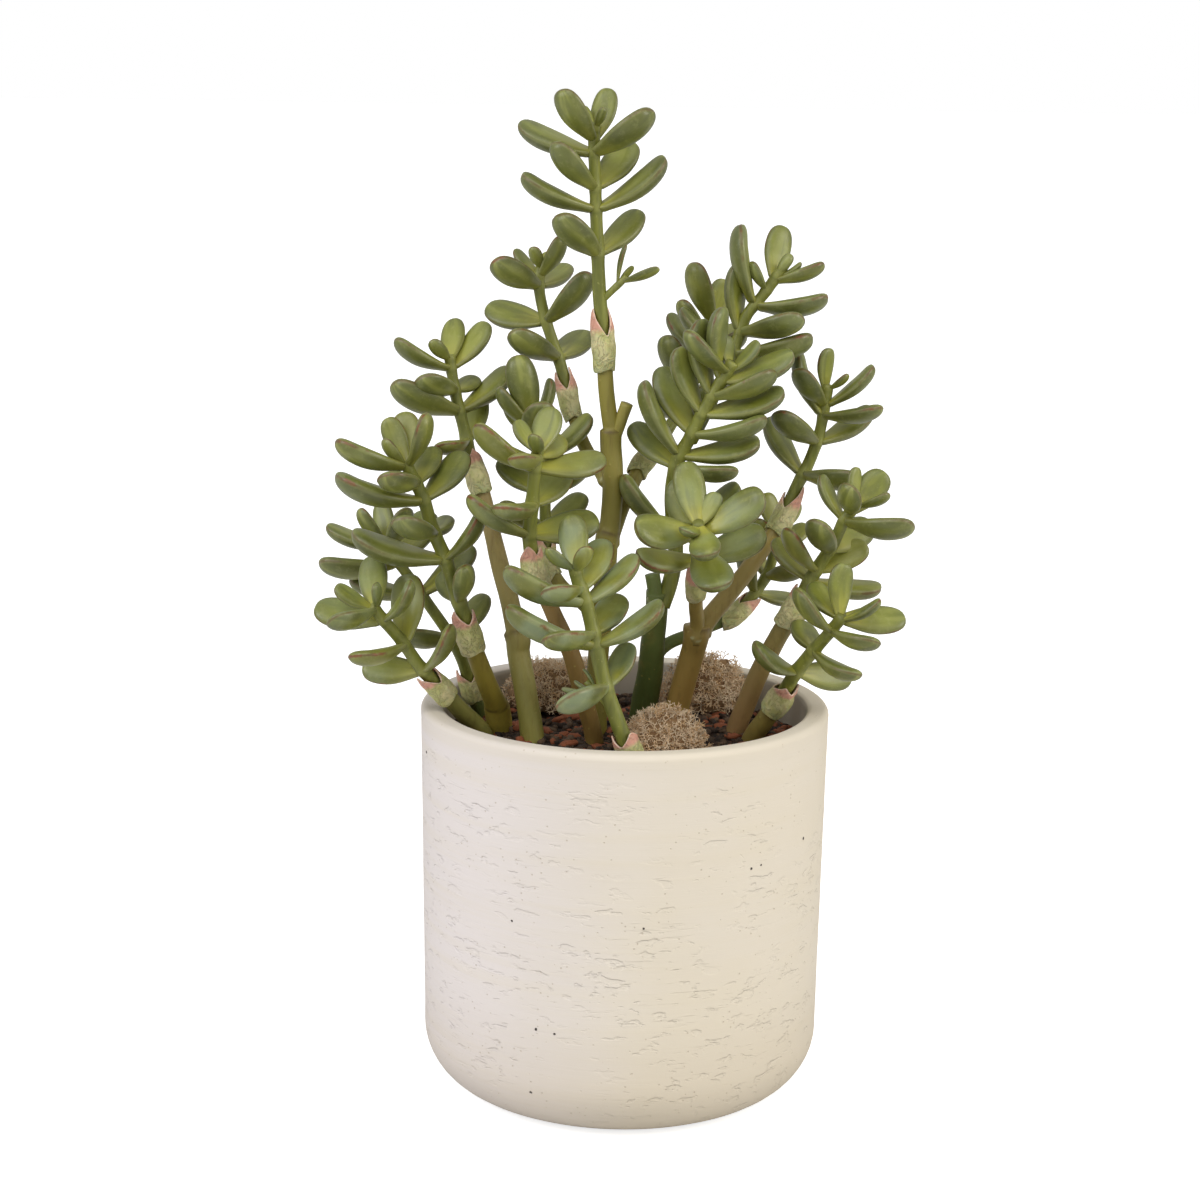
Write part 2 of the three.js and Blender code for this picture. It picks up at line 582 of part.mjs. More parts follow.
// A sleeve round the joint of a cane and a sprig, with two pointed lobes that stand along the stem
function sheathSolid(run, sprig) {
  const flat = Math.cos(Math.PI / SHEATH_SIDES);
  const caneRadius = Math.max(run.at(-1)[3], run.at(-2)[3]) / flat + SHEATH_GAP;
  const stemRadius = sprig.radius[0] / flat + SHEATH_GAP;
  const path = [
    [...pointFrom(curveOf(run), -(sprig.below ?? SHEATH_BELOW)), caneRadius],
    [...sprig.stem[0], Math.max(caneRadius, stemRadius)],
    [...pointFrom(curveOf(sprig.stem), SHEATH_ABOVE), stemRadius],
  ];
  const frames = framesAlong(curveOf(path), path.length - 1);
  const lean = Math.tan(THREE.MathUtils.degToRad(LOBE_LEAN));
  const section = [[0, 0], [1, 0], [1, 1], [1, 2], [0, 2], [0, 1], [0, 0]];
  const points = section.map(([wall, ring]) => new THREE.Vector2(1 + wall, ring));
  const sleeve = new THREE.LatheGeometry(points, SHEATH_SIDES);
  const corner = sleeve.attributes.position;
  for (let i = 0; i < corner.count; i++) {
    const ring = Math.round(corner.getY(i));
    const angle = Math.atan2(corner.getZ(i), corner.getX(i));
    const wall = Math.hypot(corner.getX(i), corner.getZ(i)) - 1;
    const { point, side, front } = frames[ring];
    const outwards = side.clone().multiplyScalar(Math.cos(angle)).addScaledVector(front, Math.sin(angle));
    const lift = ring === 2 ? liftAt(360 - THREE.MathUtils.radToDeg(angle), sprig.lobes ?? LOBES) : 0;
    const along = new THREE.Vector3().crossVectors(front, side);
    const moved = point.clone()
      .addScaledVector(outwards, path[ring][3] + wall * SHEATH_WALL + lift * lean)
      .addScaledVector(along, lift);
    corner.setXYZ(i, moved.x, moved.y, moved.z);
  }
  return solidOf(sleeve);
}

function build() {
  const plant = new THREE.Group();
  plant.name = "potted_jade_plant";
  const runsOf = (name) => CANES[name] ?? SPRIGS[name].wood;
  const feet = join([...Object.values(CANES), SPRIGS.right_high.wood].map(([trunk]) => roomFor(trunk, CANE_SIDES)));

  plant.add(meshOf("pot", potSolid(), MATERIALS.pot));
  plant.add(meshOf("soil", soilSolid(0).subtract(feet), MATERIALS.soil));
  const inside = insideOfPot();
  const ground = soilSolid(GAP);
  for (const [name, clump] of Object.entries(MOSS)) {
    plant.add(meshOf(name, mossSolid(clump).intersect(inside).subtract(ground).subtract(feet), MATERIALS.moss));
  }
  for (const [name, runs] of Object.entries(CANES)) {
    plant.add(meshOf(name, join(runs.map((run) => bentTube(run, CANE_SIDES))), MATERIALS.cane));
  }
  Object.entries(SPRIGS).forEach(([name, sprig], order) => {
    plant.add(meshOf(`sprig_${name}`, sprigSolid(sprig, 100 * order), MATERIALS.leaf));
    if (!sprig.on) return;
    const [cane, run] = sprig.on;
    plant.add(meshOf(`sheath_${name}`, sheathSolid(runsOf(cane)[run], sprig), MATERIALS.sheath));
  });
  return plant;
}

export default build();
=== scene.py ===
# The looks of a potted jade plant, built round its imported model.
# Metres, +Z up, +X to the right and -Y to the front. The tables of canes and sprigs are in millimetres.
import bisect
import math
import random

import bmesh
import bpy
from mathutils import Matrix, Vector, noise


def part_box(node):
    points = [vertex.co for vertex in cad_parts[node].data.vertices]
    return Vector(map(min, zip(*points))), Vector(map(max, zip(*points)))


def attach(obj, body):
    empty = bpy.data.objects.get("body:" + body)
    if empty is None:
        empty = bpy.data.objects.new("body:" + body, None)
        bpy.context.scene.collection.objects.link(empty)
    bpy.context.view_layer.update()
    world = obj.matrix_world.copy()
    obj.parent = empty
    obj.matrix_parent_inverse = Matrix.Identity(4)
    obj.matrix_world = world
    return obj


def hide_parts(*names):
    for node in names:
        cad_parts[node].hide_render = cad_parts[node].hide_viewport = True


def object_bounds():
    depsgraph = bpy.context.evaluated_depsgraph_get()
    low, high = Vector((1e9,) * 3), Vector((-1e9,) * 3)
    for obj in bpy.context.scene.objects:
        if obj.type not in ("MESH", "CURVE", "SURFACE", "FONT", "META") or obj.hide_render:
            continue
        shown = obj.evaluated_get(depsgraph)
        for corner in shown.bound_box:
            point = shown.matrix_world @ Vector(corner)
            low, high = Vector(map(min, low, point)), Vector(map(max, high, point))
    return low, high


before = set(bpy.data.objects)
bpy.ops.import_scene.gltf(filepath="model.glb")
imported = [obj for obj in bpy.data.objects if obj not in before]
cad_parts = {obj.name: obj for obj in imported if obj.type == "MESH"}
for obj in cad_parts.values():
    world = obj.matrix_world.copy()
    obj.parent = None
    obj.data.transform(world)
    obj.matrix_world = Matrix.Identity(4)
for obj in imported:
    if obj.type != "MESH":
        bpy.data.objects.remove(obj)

MM = 0.001
CAD_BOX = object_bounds()
TO_RIGHT = Vector((1, 0, 0))
TO_FRONT = Vector((0, -1, 0))

# How near two heights are taken to be the same, on a piece and on a blank that is about 1 long, how near two
# corners are welded into one, and a full turn for what lies anyhow, in radians
NEAR = 0.1 * MM
BLANK_NEAR = 0.001
WELD = 0.001 * MM
ANY_TURN = 6.3

# Camera, placed so that the pot's rim and foot fall where they do in the photograph
CAMERA_PLACE = (-10.3 * MM, -1000 * MM, 409 * MM)
CAMERA_DOWN = 12.10
CAMERA_ROLL = 0.83
CAMERA_SENSOR = 36
CAMERA_LENS = 78.72

# Pot and soil, measured on the solids where they show it
RIM_RADIUS, _, POT_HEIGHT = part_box("pot")[1]
FOOT_RADIUS = RIM_RADIUS - 2 * MM
POT_WALL = 9 * MM
POT_INNER = RIM_RADIUS - POT_WALL
POT_FLOOR = 11 * MM
POT_CORNER = 23.5 * MM
POT_INNER_CORNER = 16 * MM
POT_INNER_TAPER = 1 * MM
RIM_ROUND = 2.6 * MM
POT_SIDES = 160
POT_CORNER_STEPS = 12
POT_INNER_STEPS = 6
RIM_STEPS = 5
WALL_CUTS = 40
WALL_UNEVEN = 0.2 * MM
WALL_WAVES = (30, 30, 130)
RIM_CREASE = 40
SOIL_TOP = 139.5 * MM
SOIL_RELIEF = 1.2 * MM
SOIL_ROUGHNESS = 0.7 * MM
SOIL_LUMP = 8 * MM
SOIL_GAP = 0.5 * MM
SOIL_RADIUS = POT_INNER - SOIL_GAP
SOIL_BOTTOM = POT_FLOOR + SOIL_GAP
SOIL_SIDES = 96
SOIL_RINGS = 30
SOIL_CORNER_STEPS = 5

# What lies loose on the soil: its sizes are in millimetres, and red is the share of it that is red-brown
CRUMB = {"detail": 1, "shape": (1, 0.85, 0.7), "count": 2300, "sizes": (0.7, 2.1), "red": 0.14}
CHIP = {"detail": 2, "shape": (1, 0.65, 0.42), "count": 420, "sizes": (1.4, 3.9), "red": 0.6}
LUMP_UNEVEN = (0.75, 1.15)
LUMP_TILT = 0.5
LUMP_RISE = 0.2

# Moss: how far its core lies under its solid, how light each clump is, and the threads on it
MOSS_SHRINK = 2.2 * MM
MOSS_WELD = 0.01 * MM
MOSS_SHADE = {"moss_front": 0.8, "moss_left": 0.85, "moss_right": 0.9}
MOSS_SHADE_SPREAD = 0.28
MOSS_LEAN = 0.65
MOSS_SEED = 20
TUFTS_PER_CM = 42
TUFT_SIZES = (1.0, 1.5)
TUFT_SEEDS = (11, 12, 13)
TUFT_FORKS = 4
THREAD_LENGTHS = (0.8, 1.2)
THREAD_SPLAY = (0.35, 0.95)
THREAD_SHRINK = 0.9
THREAD_OVERLAP = 0.94

# Leaves, by the same rule as the solids: shares of a leaf's length, and degrees
LEAF_WIDTH = 0.52
LEAF_SPREAD = 0.1
LENGTH_SPREAD = 0.04
LEAF_THICKNESS = 0.27
LEAF_SAG = 0.05
LEAF_ROLL = 12
LEAF_FACING = 0.9
PETIOLE = 0.38
BROADEST = 0.6
ROOT_POWER = 1.4
TIP_POWER = 2.6
UPPER_SHARE = 0.4
TIP_ROOM = 1.5
ROOT_OFFSET = 0.3
LEAF_SIDES = 12
LEAF_RINGS = 10
LEAF_CREASE = 0.55
LEAF_TWIST = 9
LEAF_CURL = 0.035
LEAF_BEND = 0.05
LEAF_CHANNEL = 0.28
ROOT_DEPTH = 0.52

# The lengths in millimetres between which a leaf is young, and how far apart the leaves of two sprigs, and of
# a sprig and its shoot, are counted, so that each leaf varies in its own way
YOUNG_LENGTHS = (22, 11)
SPRIG_COUNT = 100
SHOOT_COUNT = 40

# Canes and stems, with widths of their lines and collars in millimetres
CANE_SIDES = 24
CANE_SPACING = 1.2
CANE_LUMP = 0.05
CANE_KNOBS = 0.02
COLLAR = 0.3
COLLAR_PLACE = 3.5
COLLAR_WIDTH = 2
SEAM_DEPTH = 0.8
SEAM_WIDTH = 0.6
SCAR_WIDTH = 0.5
RING_DROP = 0.25
RING_STATIONS_APART = 6
STEM_SIDES = 14
STEM_SPACING = 1.3
STEM_LUMP = 0.04
KNOT = 0.12
KNOT_WIDTH = 2.2

# Sheaths, in millimetres and degrees. LOBES are those of a sheath that names none, and each sheath creases at
# places of its own, SHEATH_APART from the next one's
SHEATH_SIDES = 32
SHEATH_RINGS = 20
SHEATH_ON_CANE = 1.04
SHEATH_ON_STEM = 1.1
SHEATH_SNUG = 0.1
SHEATH_WALL = 0.7
SHEATH_LAYER = 0.45
SHEATH_BULGE = 0.55
SHEATH_SCALLOP = 1.6
SHEATH_RAGGED = 0.6
SHEATH_BELOW = 8
SHEATH_ABOVE = 5
SHEATH_APART = 5.7
LOBES = [[200, 10], [20, 9]]
LOBE_SPREAD = 88
LOBE_LEAN = 3
LOBE_CURL = 0.012

# A cane is a trunk and the branches that grew from it, all one piece. Each run is a list of stations
# [x, y, z, radius], from its foot in the soil, or inside the trunk, to its end.
CANES = {
    "cane_middle": [
        [[-11, 5, 114, 4.2], [-11, 6, 139, 4.2], [-11, 6, 165, 4.1], [-9, 6, 192, 4.1], [-8, 6, 214, 4.3],
         [-8, 6, 218, 4.6], [-7, 7, 222, 4.1], [-6, 7, 241, 4.0], [-7, 8, 255, 4.2], [-7, 8, 260, 4.4],
         [-7, 8, 261, 3.2], [-9, 7, 275, 3.1], [-10, 6, 291, 3.0]],
        [[-7, 8, 252, 2.0], [-4, 7, 262, 2.4], [-1, 6, 271, 2.4]],
        [[-7, 8, 238, 2.4], [-13, 13, 246, 2.6], [-18, 18, 254, 2.6], [-22.4, 22.4, 266, 2.6]],
        [[-8, 7, 213, 3.2], [-3, 13, 227, 3.1], [2, 20, 238, 3.0], [4.6, 23.2, 243, 3.0]],
        [[-10, 5, 184, 2.4], [-18, 4, 193, 2.6], [-25, 3, 199, 2.6], [-30.5, 3, 207, 2.6]],
    ],
    "cane_left_high": [
        [[-33, -9, 114, 4.7], [-36, -7, 141, 4.6], [-39, -4, 159, 4.5], [-42, 0, 174, 4.4],
         [-42, 0, 178, 4.9], [-43, 0, 181, 4.8], [-43, 0, 182, 4.0], [-46, 2, 195, 3.8],
         [-50, 4, 209, 3.5], [-54, 6, 225, 3.2], [-57.9, 8.3, 238.7, 3.1]],
    ],
    "cane_left": [
        [[-46, 11, 116, 4.4], [-49, 6, 139, 4.6], [-49.5, 5, 144, 5.2], [-50.3, 3, 150, 5.2],
         [-51.4, 0, 154, 4.3], [-54, -5, 162, 3.9], [-60, -13.4, 181, 3.4]],
    ],
    "cane_left_low": [
        [[-52, 2, 120, 3.7], [-55, -1, 139, 3.7], [-58.5, -6, 145.5, 3.7], [-63, -13, 152, 3.6],
         [-67, -18, 158, 3.4], [-70, -21, 162.5, 3.2]],
    ],
    "cane_left_back": [
        [[-54, 31, 118, 2.9], [-56.5, 28, 138, 2.9], [-60.8, 20.2, 150.5, 2.8]],
    ],
    "cane_front_left": [
        [[-8, -8, 114, 3.6], [-12, -13, 143, 3.6], [-17, -18, 163, 3.5], [-21, -22, 178, 3.4],
         [-28, -27, 195, 3.2], [-34, -30, 209, 3.0]],
    ],
    "cane_front": [
        [[8, -50, 116, 3.7], [5, -54.5, 136, 3.6], [2.6, -57.5, 146, 3.5]],
    ],
    "cane_fork": [
        [[19, 23, 114, 5.0], [21, 21, 144, 4.9], [24, 18, 159, 4.8], [27, 14, 172, 4.8],
         [28, 11, 178, 5.2], [28, 10, 181, 5.5], [28, 10, 183, 5.2]],
        [[28, 9, 176, 2.6], [28, 6, 185, 2.9], [27, 0, 193, 2.8], [27, -5, 199, 2.7]],
        [[28, 11, 177, 3.4], [32, 12, 184, 3.8], [45, 16, 200, 3.5], [55, 20, 214, 3.3],
         [60, 22, 221, 3.2]],
    ],
    "cane_right_middle": [
        [[38, 17, 116, 4.0], [44, 10, 139, 4.0], [53, 4, 166, 3.9], [59, 0, 180, 3.7], [64, -3, 190, 3.5]],
    ],
    "cane_right_low": [
        [[45, 4, 118, 4.0], [50, -1, 139, 3.9], [55, -6, 149, 3.8], [59.5, -10, 157, 3.6]],
    ],
}

# A sprig is a stem [x, y, z] from its plug to its tip, with a radius at each end, and its leaves in pairs.
# A pair is [distance along the stem, leaf length, turn of the first leaf, splay of the first, splay of the
# second], where a length or a turn may be two. Turn is in degrees about the stem: 0 is to the right and 270
# to the front. "on" names the cane and its run that the sprig is plugged into, "below" is how far its sheath
# reaches down, and "lobes" are the sheath's lobes, each [turn, lift]. "wood" is a trunk of the sprig's own,
# "shoots" are its side stems, "slim" thins the leaves of a shoot, and "facing" is how far the leaves turn
# their broad faces to the front.
SPRIGS = {
    "crown": {
        "on": ["cane_middle", 0],
        "lobes": [[205, 12], [20, 12]],
        "stem": [[-10, 6, 292], [-12, 5, 311], [-13, 4, 328], [-14, 3, 347], [-15, 2, 368], [-15, 2, 378]],
        "radius": [2.8, 2.0],
        "pairs": [[37, 27, 229, 49, 60], [54, 31, 184, 61, 57], [62, [27, 26], 227, 47, 53],
                  [75, [31, 29], [157, 333], 69, 54], [80, [24, 21], [226, 62], 44, 28],
                  [84, [10, 9], [135, 309], 36, 32]],
        "shoots": [{
            "stem": [[-12, 5, 310], [-7, 4, 315], [-2, 3, 320]],
            "radius": [1.5, 1.2],
            "slim": 0.6,
            "pairs": [[10, [15, 9], [160, 105], 34, 12], [12, 16, 307, 26]],
        }],
    },
    "crown_left": {
        "on": ["cane_middle", 2],
        "lobes": [[195, 10], [350, 11]],
        "below": 4.5,
        "stem": [[-22.9, 22.7, 267.3], [-25, 24, 276], [-28, 26, 286], [-33, 28, 300], [-36, 30, 314],
                 [-35, 31, 322]],
        "radius": [2.5, 2.0],
        "pairs": [[20, 27, [236, 60], 60, 72], [35, [28, 27], 147, 65, 62],
                  [49, [26, 24], [229, 63], 68, 69], [53, [15, 19], [150, 309], 54, 31],
                  [56, [11, 9], [245, 78], 51, 40]],
    },
    "left_high": {
        "on": ["cane_left_high", 0],
        "lobes": [[195, 6], [305, 7]],
        "below": 4.5,
        "stem": [[-58.4, 8.6, 240.5], [-62, 10, 251], [-64, 11, 259], [-67, 12, 271], [-69, 13, 281],
                 [-70, 13, 288]],
        "radius": [2.6, 2.0],
        "pairs": [[15.4, [22, 24], 247, 87, 49], [27.4, [30, 29], 218, 58, 67],
                  [35.4, [24, 17], 242, 71, 77], [44.4, [25, 23], [204, 39], 56, 54],
                  [48.4, [13, 22], [239, 84], 46, 52]],
    },
    "left": {
        "on": ["cane_left", 0],
        "lobes": [[225, 9], [0, 7]],
        "below": 5,
        "stem": [[-60.3, -13.7, 182.3], [-63, -17, 193], [-66, -20, 203], [-69, -23, 214],
                 [-74, -26, 227], [-77, -28, 238], [-81, -30, 247], [-84, -31, 253]],
        "radius": [3.1, 2.2],
        "pairs": [[16.5, 20, [315, 110], 31, 78], [35.5, [36, 26], [193, 347], 51, 52],
                  [46.5, [27, 20], [256, 84], 50, 100], [60.5, [35, 26], [192, 50], 52, 77],
                  [67.5, [25, 22], [260, 73], 54, 81], [75.5, [28, 23], [203, 348], 42, 47],
                  [77.5, 19, 91, 28], [78.5, [14, 22], [228, 74], 9, 50]],
    },
    "left_low": {
        "on": ["cane_left_low", 0],
        "lobes": [[235, 8], [60, 7]],
        "below": 4.5,
        "stem": [[-70.6, -21.5, 163.3], [-74, -24, 167.5], [-79, -27, 174], [-85, -31, 184],
                 [-91, -34, 192], [-96, -36, 199]],
        "radius": [2.8, 2.1],
        "pairs": [[12, 25, [163, 350], 67, 60], [26, [26, 28], [239, 66], 55, 55],
                  [39, [27, 22], [158, 346], 54, 66], [45, 24, [246, 80], 60, 64],
                  [46, [17, 11], [158, 347], 27, 34]],
    },
    "left_back": {
        "on": ["cane_left_back", 0],
        "below": 2.5,
        "lobes": [[200, 6], [20, 5]],
        "stem": [[-61, 19.8, 152], [-62.2, 19.4, 156.5], [-65, 17, 166], [-70, 14, 177], [-77, 12, 188],
                 [-83, 11, 197], [-90, 10, 207], [-95, 10, 215]],
        "radius": [2.6, 2.0],
        "pairs": [[25.5, 24, 230, 49, 82], [47.5, [29, 27], [181, 24], 42, 83],
                  [63.5, [32, 28], [207, 50], 56, 75], [70.5, [25, 22], [165, 321], 42, 60],
                  [72.5, [17, 18], [224, 68], 3, 39]],
    },
    "front_left": {
        "on": ["cane_front_left", 0],
        "lobes": [[262, 8], [345, 6]],
        "stem": [[-35, -31, 211], [-37, -33, 225], [-36, -35, 240], [-35, -37, 253], [-34, -38, 260]],
        "radius": [2.9, 2.1],
        "pairs": [[16, 28, [200, 27], 54, 84], [28, [27, 26], 246, 77, 73],
                  [42, [29, 28], [197, 30], 56, 85], [47, [24, 20], [252, 61], 77, 80],
                  [50, [12, 20], 259, 45, 48], [51, 15, 139, 54]],
    },
    "middle_back": {
        "on": ["cane_middle", 4],
        "below": 5,
        "stem": [[-31.4, 3, 208.3], [-32, 4, 222], [-32.5, 5, 238], [-35, 6, 253], [-38, 7, 265]],
        "radius": [2.4, 1.9],
        "pairs": [[14, 24, 225, 60, 60], [28, 24, 325, 60, 60], [41, 25, 186, 58, 58],
                  [51, 25, 285, 60, 54], [54, 20, 200, 28, 34], [56, 26, 276, 10]],
    },
    "front": {
        "on": ["cane_front", 0],
        "lobes": [[320, 6], [180, 6]],
        "below": 3.5,
        "stem": [[2.2, -57.8, 147.2], [0, -58.5, 153], [-3, -59, 161], [-8, -59, 175], [-11.5, -58, 190],
                 [-15.5, -57, 206], [-18.5, -57, 214], [-20, -57, 220]],
        "radius": [3.2, 2.3],
        "pairs": [[29, [28, 22], [236, 52], 81, 61], [45.5, [35, 29], [190, 2], 54, 70],
                  [50, 27, [236, 64], 79, 71], [62, [33, 26], [191, 31], 51, 71],
                  [67, [22, 26], 242, 69, 68], [74, [14, 23], [307, 82], 46, 38], [76, 14, 220, 43]],
        "shoots": [{
            "stem": [[-3, -59, 162], [-9, -58, 170], [-15, -57, 176]],
            "radius": [1.5, 1.2],
            "slim": 0.6,
            "pairs": [[12, [14, 10], [183, 175], 36, 18], [14, 9, 8, 14]],
        }],
    },
    "right_high": {
        "wood": [
            [[5, 27, 114, 5.5], [8, 24, 145, 5.5], [10, 20, 160, 5.2], [11, 14, 176, 4.8],
             [12, 9, 190, 4.4], [12, 7, 197, 4.3]],
            [[12, 7, 190, 3.0], [11, 6, 198, 2.9], [10, 6, 204, 2.9]],
            [[10, 18, 166, 2.4], [17, 23, 172, 2.6], [25, 26, 175, 2.5], [34, 30, 178, 2.5],
             [42, 32, 181, 2.5]],
        ],
        "stem": [[14, 7, 191], [17, 8, 200], [19, 8, 213], [17, 5, 234], [19, 2, 250], [24, 0, 260],
                 [29, -2, 271], [35, -4, 282], [39, -5, 289]],
        "radius": [3.3, 2.2],
        "facing": 1.6,
        "pairs": [[30, [32, 30], 190, 30, 61], [58, 26, [138, 332], 75, 72], [63, 31, [172, 4], 49, 54],
                  [73, 29, [133, 343], 65, 49], [82, [27, 31], [167, 5], 46, 48],
                  [90, [29, 27], [155, 340], 42, 37], [97, [27, 29], [162, 6], 30, 39],
                  [101, [26, 16], [210, 26], 71, 18], [104, 13, 121, 55]],
        "shoots": [{
            "stem": [[24, 0, 258], [30, 10, 268], [36, 16, 280], [42, 20, 295], [45, 20, 304],
                     [51, 20, 312], [56, 20, 319], [60, 20, 325]],
            "radius": [2.6, 2.0],
            "facing": 1.6,
            "pairs": [[41, [26, 31], [165, 352], 70, 59], [50, 27, [160, 324], 17, 61],
                      [62, [31, 29], 175, 49, 45], [69, 13, 203, 66], [74, [23, 20], [121, 340], 39, 34],
                      [76, 10, [240, 4], 2, 25]],
        }],
    },
    "right_inner": {
        "on": ["cane_middle", 3],
        "lobes": [[195, 9], [20, 6]],
        "below": 3.5,
        "stem": [[5.4, 24.2, 244.2], [11, 29, 250], [17, 35, 259], [24, 41, 271], [30, 45, 286],
                 [34, 48, 300]],
        "radius": [2.6, 2.0],
        "pairs": [[26, [24, 20], [137, 302], 68, 57], [39, [25, 20], 218, 59, 52],
                  [53, [24, 20], [151, 324], 56, 49], [60, 20, [213, 49], 59, 58],
                  [67, [25, 18], [218, 108], 41, 6], [69, 13, 163, 14]],
    },
    "rosette": {
        "on": ["cane_fork", 1],
        "below": 3,
        "stem": [[27, -5.4, 200], [27, -12, 210], [27, -24, 222], [26, -36, 232]],
        "radius": [2.6, 2.0],
        "pairs": [[19, 27, 200, 62, 78], [28, 29, 105, 76, 62], [39, 28, 195, 58, 60],
                  [44, 25, 100, 78, 54], [46, 14, 60, 80, 40]],
    },
    "far_right": {
        "on": ["cane_fork", 2],
        "below": 4,
        "lobes": [[335, 12], [170, 7]],
        "stem": [[60.8, 22.3, 222.4], [67, 24, 237], [71, 25, 245], [75, 25, 257], [77, 25, 269],
                 [78, 25, 277]],
        "radius": [2.6, 2.0],
        "pairs": [[21, [27, 26], [154, 322], 60, 68], [35, 26, [218, 24], 70, 47],
                  [46, [27, 25], [168, 324], 31, 72], [50, [22, 23], [219, 0], 51, 39], [55, 17, 126, 9],
                  [57, 10, 326, 46]],
    },
    "right_middle": {
        "on": ["cane_right_middle", 0],
        "lobes": [[190, 7], [20, 6]],
        "below": 5,
        "stem": [[65, -3.4, 191.4], [70, -5, 203], [74, -7, 211], [79, -9, 220], [83, -11, 230],
                 [88, -12, 237]],
        "radius": [2.8, 2.1],
        "pairs": [[15, [24, 28], [126, 353], 83, 66], [20, [24, 22], [201, 25], 60, 44],
                  [30, [27, 26], 234, 60, 66], [43, [20, 28], [142, 329], 61, 61],
                  [47, [20, 22], [236, 70], 57, 30], [52, 14, 143, 41, 28]],
    },
    "right_low": {
        "on": ["cane_right_low", 0],
        "lobes": [[250, 6], [350, 7]],
        "below": 5,
        "stem": [[60.2, -11, 158.3], [65, -20, 171], [71, -28, 182], [76, -34, 190], [81, -38, 198]],
        "radius": [2.9, 2.1],
        "pairs": [[18, [26, 24], [191, 15], 61, 96], [32, [25, 23], [298, 87], 57, 114],
                  [45, [25, 24], [188, 298], 61, 50], [51, [25, 22], [17, 112], 73, 100],
                  [54, [21, 17], [120, 339], 44, 21]],
    },
    "right_back": {
        "on": ["right_high", 2],
        "lobes": [[340, 9], [160, 8]],
        "below": 4.5,
        "stem": [[43.2, 32.3, 181.5], [50, 36, 188], [57, 38, 198], [60, 38, 210], [61, 38, 218]],
        "radius": [2.4, 1.9],
        "pairs": [[14, 20, 35, 60, 58], [22, 19, 125, 60, 58], [34, 18, 40, 56, 46],
                  [41, 16, 130, 34, 30]],
    },
}


def linear(share):
    """One channel of a screen colour, from 0 to 1, as light."""
    return share / 12.92 if share <= 0.04045 else ((share + 0.055) / 1.055) ** 2.4


def colour(code):
    """A colour for a node from its six screen digits."""
    return (*(linear(int(code[i:i + 2], 16) / 255) for i in (0, 2, 4)), 1)


def vary(index):
    """A share from -1 to 1 that differs from leaf to leaf and is the same each time."""
    golden = 0.6180339887
    return 2 * ((index * golden) % 1) - 1


def smooth(value, low, high):
    """0 below low and 1 above high, with a soft step between them."""
    share = min(max((value - low) / (high - low), 0), 1)
    return share * share * (3 - 2 * share)


def peak(apart, width):
    """1 where apart is 0, falling softly to nothing a few widths away."""
    return math.exp(-(apart / width) ** 2)


def square_to(tangent, side):
    """The direction nearest to side that stands square to a tangent."""
    return (side - tangent * side.dot(tangent)).normalized()


class Route:
    """A smooth curve through stations [x, y, z, radius], the same as the one that the solids follow."""

    SAMPLES = 200
    STEP = 1e-4

    def __init__(self, stations):
        points = [Vector(station[:3]) for station in stations]
        self.points = [2 * points[0] - points[1], *points, 2 * points[-1] - points[-2]]
        self.radii = [station[3] if len(station) > 3 else 0 for station in stations]
        self.spans = len(points) - 1
        places = [self.at(i / self.SAMPLES) for i in range(self.SAMPLES + 1)]
        self.marks = [0]
        for here, there in zip(places, places[1:]):
            self.marks.append(self.marks[-1] + (there - here).length)
        self.length = self.marks[-1]

    def span_of(self, t):
        spot = min(max(t, 0), 1) * self.spans
        span = min(int(spot), self.spans - 1)
        return span, spot - span

    def at(self, t):
        """The point at t, which runs evenly from station to station."""
        span, w = self.span_of(t)
        p0, p1, p2, p3 = self.points[span:span + 4]
        d0, d1, d2 = (math.sqrt((b - a).length) for a, b in ((p0, p1), (p1, p2), (p2, p3)))
        start = ((p1 - p0) / d0 - (p2 - p0) / (d0 + d1) + (p2 - p1) / d1) * d1
        end = ((p2 - p1) / d1 - (p3 - p1) / (d1 + d2) + (p3 - p2) / d2) * d1
        return (p1 + start * w + (3 * (p2 - p1) - 2 * start - end) * w ** 2
                + (2 * (p1 - p2) + start + end) * w ** 3)

    def radius(self, t):
        span, w = self.span_of(t)
        return self.radii[span] * (1 - w) + self.radii[span + 1] * w

    def tangent(self, t):
        return (self.at(t + self.STEP) - self.at(t - self.STEP)).normalized()

    def share(self, distance):
        """The t at a distance from the start, or back from the end if it is negative."""
        goal = min(max(distance if distance >= 0 else self.length + distance, 0), self.length)
        mark = min(max(bisect.bisect_right(self.marks, goal) - 1, 0), self.SAMPLES - 1)
        rest = (goal - self.marks[mark]) / (self.marks[mark + 1] - self.marks[mark])
        return (mark + rest) / self.SAMPLES


def deselect():
    bpy.ops.object.select_all(action="DESELECT")


def hold(*objects):
    """Selects these objects alone, with the first one active."""
    deselect()
    for thing in objects:
        thing.select_set(True)
    bpy.context.view_layer.objects.active = objects[0]


def edit(thing):
    hold(thing)
    bpy.ops.object.mode_set(mode="EDIT")


def done():
    bpy.ops.object.mode_set(mode="OBJECT")


def pick(kind, test):
    """Selects the vertices, edges or faces of the mesh in edit mode that pass a test, and nothing else."""
    bpy.ops.mesh.select_mode(type=kind)
    bpy.ops.mesh.select_all(action="DESELECT")
    mesh = bmesh.from_edit_mesh(bpy.context.object.data)
    for part in {"VERT": mesh.verts, "EDGE": mesh.edges, "FACE": mesh.faces}[kind]:
        if test(part):
            part.select_set(True)
    bmesh.update_edit_mesh(bpy.context.object.data)


def work_all(thing, operator, **settings):
    """Uses an edit mode operator on the whole of a mesh."""
    edit(thing)
    bpy.ops.mesh.select_all(action="SELECT")
    operator(**settings)
    done()


